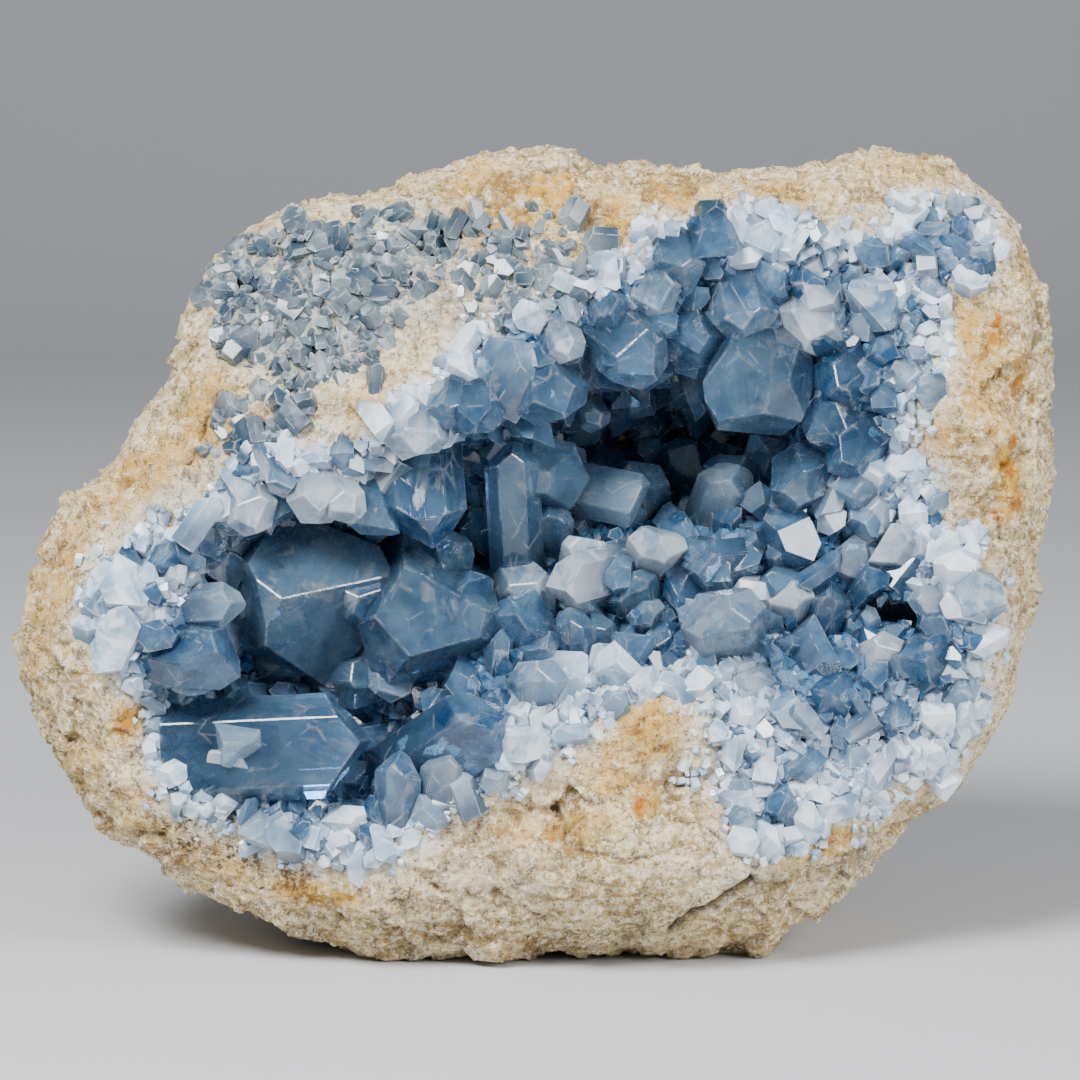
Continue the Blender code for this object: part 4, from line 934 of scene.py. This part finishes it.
# Where the small crystals are whiter or bluer than elsewhere: centre u, v, half sizes, turn, strength
WHITE_PATCHES = [
    (34, 110.8, 6, 6.5, 0, 1), (46.8, 98.2, 4.5, 5, 0, 0.9), (38.8, 55, 5, 7, 0, 1),
    (52.4, 67.1, 8, 10, 0, 0.9), (53.3, 48.5, 5, 4, 0, 0.8), (-50.2, 33.2, 8, 8, 0, 1),
    (-30.4, 73.5, 6, 4.5, 0, 0.8), (-17.5, 82, 4.5, 5, 0, 0.8), (48, 35, 18, 14, -20, 0.9),
    (3, 43, 9, 5, 40, 0.8), (-58, 58, 6, 6, 0, 0.7), (-20, 22, 5, 4, 0, 0.6),
    (62, 60, 5, 9, 0, 0.8), (28, 41, 6, 8, 20, 0.8),
]
BLUE_PATCHES = [
    (49.6, 80.6, 6, 6, 0, 1), (24.8, 108.9, 6, 5, 0, 1), (50, 92, 8, 8, 0, 0.6),
    (64, 110, 5, 6, 0, 0.8), (57, 52, 8, 6, 0, 0.8), (-56, 42, 5, 8, 0, 0.5),
    (20, 62, 14, 12, 0, 0.8), (-20, 55, 18, 16, 0, 0.9), (57, 38, 5, 4, 0, 0.4),
    (-40, 22, 9, 4, 0, 0.6),
]


def whiteness_at(points):
    """How much whiter than elsewhere the small crystals are, below 0 where they are bluer."""
    u, v = points[:, 0], points[:, 1]
    return patch_share(WHITE_PATCHES, u, v) - patch_share(BLUE_PATCHES, u, v)


rng = np.random.default_rng(FIELD_SEED)
spots, wall = scatter_on(*coarse_rock, in_crust, BLADE_PLACES, rng)
rim = inner_distance(CRUST_EDGE, spots[:, 0], spots[:, 1])
hollow = patch_share(HOLLOWS, spots[:, 0], spots[:, 1])
small_zone = np.maximum(lower_right(spots[:, 0], spots[:, 1]), 0.6 * upper_right(spots[:, 0], spots[:, 1]))
inner = ease((rim - 2) / 11) * (1 - 0.7 * small_zone)
length = rng.uniform(0.0, 1.0, len(spots)) ** 2.2 * (6.0 + 3.0 * inner) + rng.uniform(3.6, 4.6, len(spots))
length *= 1 - 0.25 * ease((2 - rim) / 2)
allowed = np.where(rng.random(len(spots)) < hollow, 20.0, 0.0)
keep = thin_out(spots, 0.8 + 0.26 * length + 0.7 * inner + allowed, BLADE_LIMIT)
spots, wall, length, rim, inner = (each[keep] for each in (spots, wall, length, rim, inner))
axes = turned_axes(wall, BLADE_SPREAD, rng)
roots = spots - axes[:, 0] * (length * (0.62 - 0.30 * inner))[:, None]
widen = rng.uniform(0.8, 1.5, len(spots)) * (1.2 - 0.2 * inner)
cloudiness = 0.75 - rim / 16 + whiteness_at(spots) * 0.5 + rng.normal(0, 0.2, len(spots))
cloudiness = np.clip(cloudiness, 0, 1)
blades = blade_shapes(BLADE_SEED)
# The same looks as the large crystals, without the inner seams that a small crystal hasn't room for
small_clear = celestite("small clear celestite", "#376e9c", "#8fb9da", 0.1, 0.06, 0.7, False)
small_cloudy = celestite("small cloudy celestite", "#5a87ac", "#b6cddf", 0.4, 0.16, 0.5, False)
small_frosted = celestite("small frosted celestite", "#829fb9", "#d3dee8", 0.72, 0.3, 0.0, False)
for look, material, start, end in ((CLEAR, small_clear, -1, 0.34), (CLOUDY, small_cloudy, 0.34, 0.62),
                                   (FROSTED, small_frosted, 0.62, 2)):
    mine = (cloudiness >= start) & (cloudiness < end)
    piece = crystal_field(look + "_small_crystals", blades, roots[mine], axes[mine], length[mine],
                          widen[mine], rng)
    piece.data.materials.append(material)
    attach(piece, "root")
    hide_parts("crystal_crust")

# The druse: a sugary crust of celestite crystals one to three millimetres long, which covers what
# wall is left between the others. It grew on the rock and thins out over the bare rock around it.
DRUSE_COUNT, DRUSE_SPREAD, NEEDLE_SEED = 10500, 0.6, 8


def druse_density(middle):
    """Dense inside the crust, thinning out over a few millimetres of bare rock around it."""
    edge = inner_distance(CRUST_EDGE, middle[:, 0], middle[:, 1])
    bare = patch_share(BARE_WALL + HOLLOWS, middle[:, 0], middle[:, 1])
    return ease((edge + 2.5) / 4.0) * (1 - bare)


needles = needle_shapes(NEEDLE_SEED)
spots, wall = scatter_on(*coarse_rock, druse_density, DRUSE_COUNT, rng)
rim = inner_distance(CRUST_EDGE, spots[:, 0], spots[:, 1])
length = rng.uniform(1.3, 3.2, len(spots)) * (0.65 + 0.35 * ease(rim / 7))
axes = turned_axes(wall, DRUSE_SPREAD, rng)
roots = spots - axes[:, 0] * (length * (0.7 - 0.4 * ease(rim / 9)))[:, None]
widen = rng.uniform(0.9, 1.6, len(spots))
druse = crystal_field("druse", needles, roots, axes, length, widen, rng)
points = to_face(np.array([vert.co for vert in druse.data.vertices]))
rim_now = inner_distance(CRUST_EDGE, points[:, 0], points[:, 1])
add_values(druse, "pale", np.clip(1.1 - rim_now / 11 + whiteness_at(points) * 0.6, 0, 1))
# Painted shade: how deep into the hollow each needle lies
add_values(druse, "deep", ease((points[:, 2] - 27) / 14))

# Sugary druse: each crystal a little lighter or darker and whiter at the rim, with painted shade that darkens
# it towards its root and to near black deep inside
druse_material, tree, shader = new_material("sugary celestite druse")
place = add(tree, "ShaderNodeTexCoord").outputs["Object"]
mixed = blend_colour(tree, value_of(tree, "pale"), colour("#4a7699"), colour("#e6edf2"))
shade = blend_colour(tree, value_of(tree, "tint"), colour("#8ba6bd"), colour("#ffffff"))
body = blend_colour(tree, 0.75, mixed, shade, "MULTIPLY")
# Painted shade: each needle darkens towards its root
depth = stretch(tree, value_of(tree, "along"), 0.1, 0.8, 0.55, 0.0)
body = blend_colour(tree, depth, body, colour("#3d5a74"))
# Painted shade: near black deep in the hollow
body = blend_colour(tree, value_of(tree, "deep"), body, colour("#08111a"))
tree.links.new(body, shader.inputs["Base Color"])
sparkle = stretch(tree, speckle(tree, place, 1.5), 0.4, 0.6, 0.12, 0.4)
tree.links.new(sparkle, shader.inputs["Roughness"])
shader.inputs["IOR"].default_value = CELESTITE_IOR
druse.data.materials.append(druse_material)
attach(druse, "root")
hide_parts("crystal_crust")

# The upper left pocket: a shallow hollow where small grey-blue crystals lie half grown over by rock.
# More of them show as grey grains in the rock to its right.
POCKET_PLACES, POCKET_LIMIT, POCKET_SPREAD, POCKET_SEED = 3200, 520, 0.55, 5


def pocket_density(middle):
    """In clusters over the pocket, with bare rock between, and thinly over the grey zone."""
    u, v = middle[:, 0], middle[:, 1]
    clusters = ease((noise_field(middle, 9.0, 2, 3.3) + 0.32) / 0.3)
    inside = ease((inner_distance(POCKET_EDGE, u, v) + 0.5) / 3.0) * (0.12 + 0.88 * clusters)
    return np.maximum(inside * (1 - patch_share(HOLLOWS, u, v)), 0.35 * patch_share(GREY_ZONE, u, v))


rng = np.random.default_rng(POCKET_SEED)
spots, wall = scatter_on(*coarse_rock, pocket_density, POCKET_PLACES, rng)
length = rng.uniform(2.0, 5.6, len(spots))
keep = thin_out(spots, 0.5 + length * 0.27, POCKET_LIMIT)
spots, wall, length = spots[keep], wall[keep], length[keep]
axes = turned_axes(wall, POCKET_SPREAD, rng)
roots = spots - axes[:, 0] * (length * 0.76)[:, None]
widen = rng.uniform(1.0, 1.8, len(spots))
pocket = crystal_field("pocket_crystals", blades, roots, axes, length, widen, rng)
# Greyer than the main hollow's: dulled by the fine rock dust on and between them
grey_celestite = celestite("grey cloudy celestite", "#4a6373", "#a3b3ba", 0.35, 0.2, 0.5, False)
pocket.data.materials.append(grey_celestite)
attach(pocket, "root")
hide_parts("upper_pocket_crust")

# The studio: a pale table that curves up behind, a soft lamp above left, a fill, and the camera
# at the photograph's height, which looks slightly down
VIEW_TARGET = to_part(np.array((0.86, 66.0, 20.0)))
VIEW_DISTANCE = 0.7
TABLE_HALF = 2.5
CURVE_START, CURVE_RADIUS, CURVE_STEPS = 0.9, 0.6, 12
TABLE_GAP = 0.0002
section = [(-TABLE_HALF, 0.0), (CURVE_START, 0.0)]
for step in range(1, CURVE_STEPS + 1):
    turn = step / CURVE_STEPS * math.pi / 2
    section.append((CURVE_START + CURVE_RADIUS * math.sin(turn), CURVE_RADIUS * (1 - math.cos(turn))))
section.append((CURVE_START + CURVE_RADIUS, TABLE_HALF))
table_points = [(side * TABLE_HALF, y, z - TABLE_GAP) for y, z in section for side in (-1, 1)]
table_faces = [[2 * n, 2 * n + 1, 2 * n + 3, 2 * n + 2] for n in range(len(section) - 1)]
floor = new_mesh_object("table", np.array(table_points), table_faces, smooth=True)
# Plain matt grey-white, so that nothing but the stone draws the eye
table_material, tree, shader = new_material("matt pale table top")
shader.inputs["Base Color"].default_value = colour("#c4c5c8")
shader.inputs["Roughness"].default_value = 0.7
floor.data.materials.append(table_material)

world = bpy.data.worlds.new("studio")
bpy.context.scene.world = world
world.use_nodes = True
world.node_tree.nodes["Background"].inputs[0].default_value = colour("#cdd3da")
world.node_tree.nodes["Background"].inputs[1].default_value = 0.4


def soft_lamp(name, place, size, energy):
    """A soft box that looks at the stone."""
    data = bpy.data.lights.new(name, "AREA")
    data.energy = energy
    data.shape = "RECTANGLE"
    data.size, data.size_y = size
    lamp = bpy.data.objects.new(name, data)
    bpy.context.scene.collection.objects.link(lamp)
    lamp.location = place
    target = Vector((0, 0, 0.05))
    lamp.rotation_euler = (target - Vector(place)).to_track_quat("-Z", "Y").to_euler()


soft_lamp("soft lamp above left", (-0.30, -0.45, 0.62), (0.35, 0.3), 12.5)
soft_lamp("soft lamp on the right", (0.55, -0.50, 0.40), (0.3, 0.4), 7.0)

camera_data = bpy.data.cameras.new("camera")
camera = bpy.data.objects.new("camera", camera_data)
bpy.context.scene.collection.objects.link(camera)
camera_data.sensor_width = 36.0
camera_data.lens = 149.5
camera.location = Vector(VIEW_TARGET) - Vector(FACE_IN) * VIEW_DISTANCE
camera.rotation_euler = Vector(FACE_IN).to_track_quat("-Z", "Y").to_euler()
bpy.context.scene.camera = camera
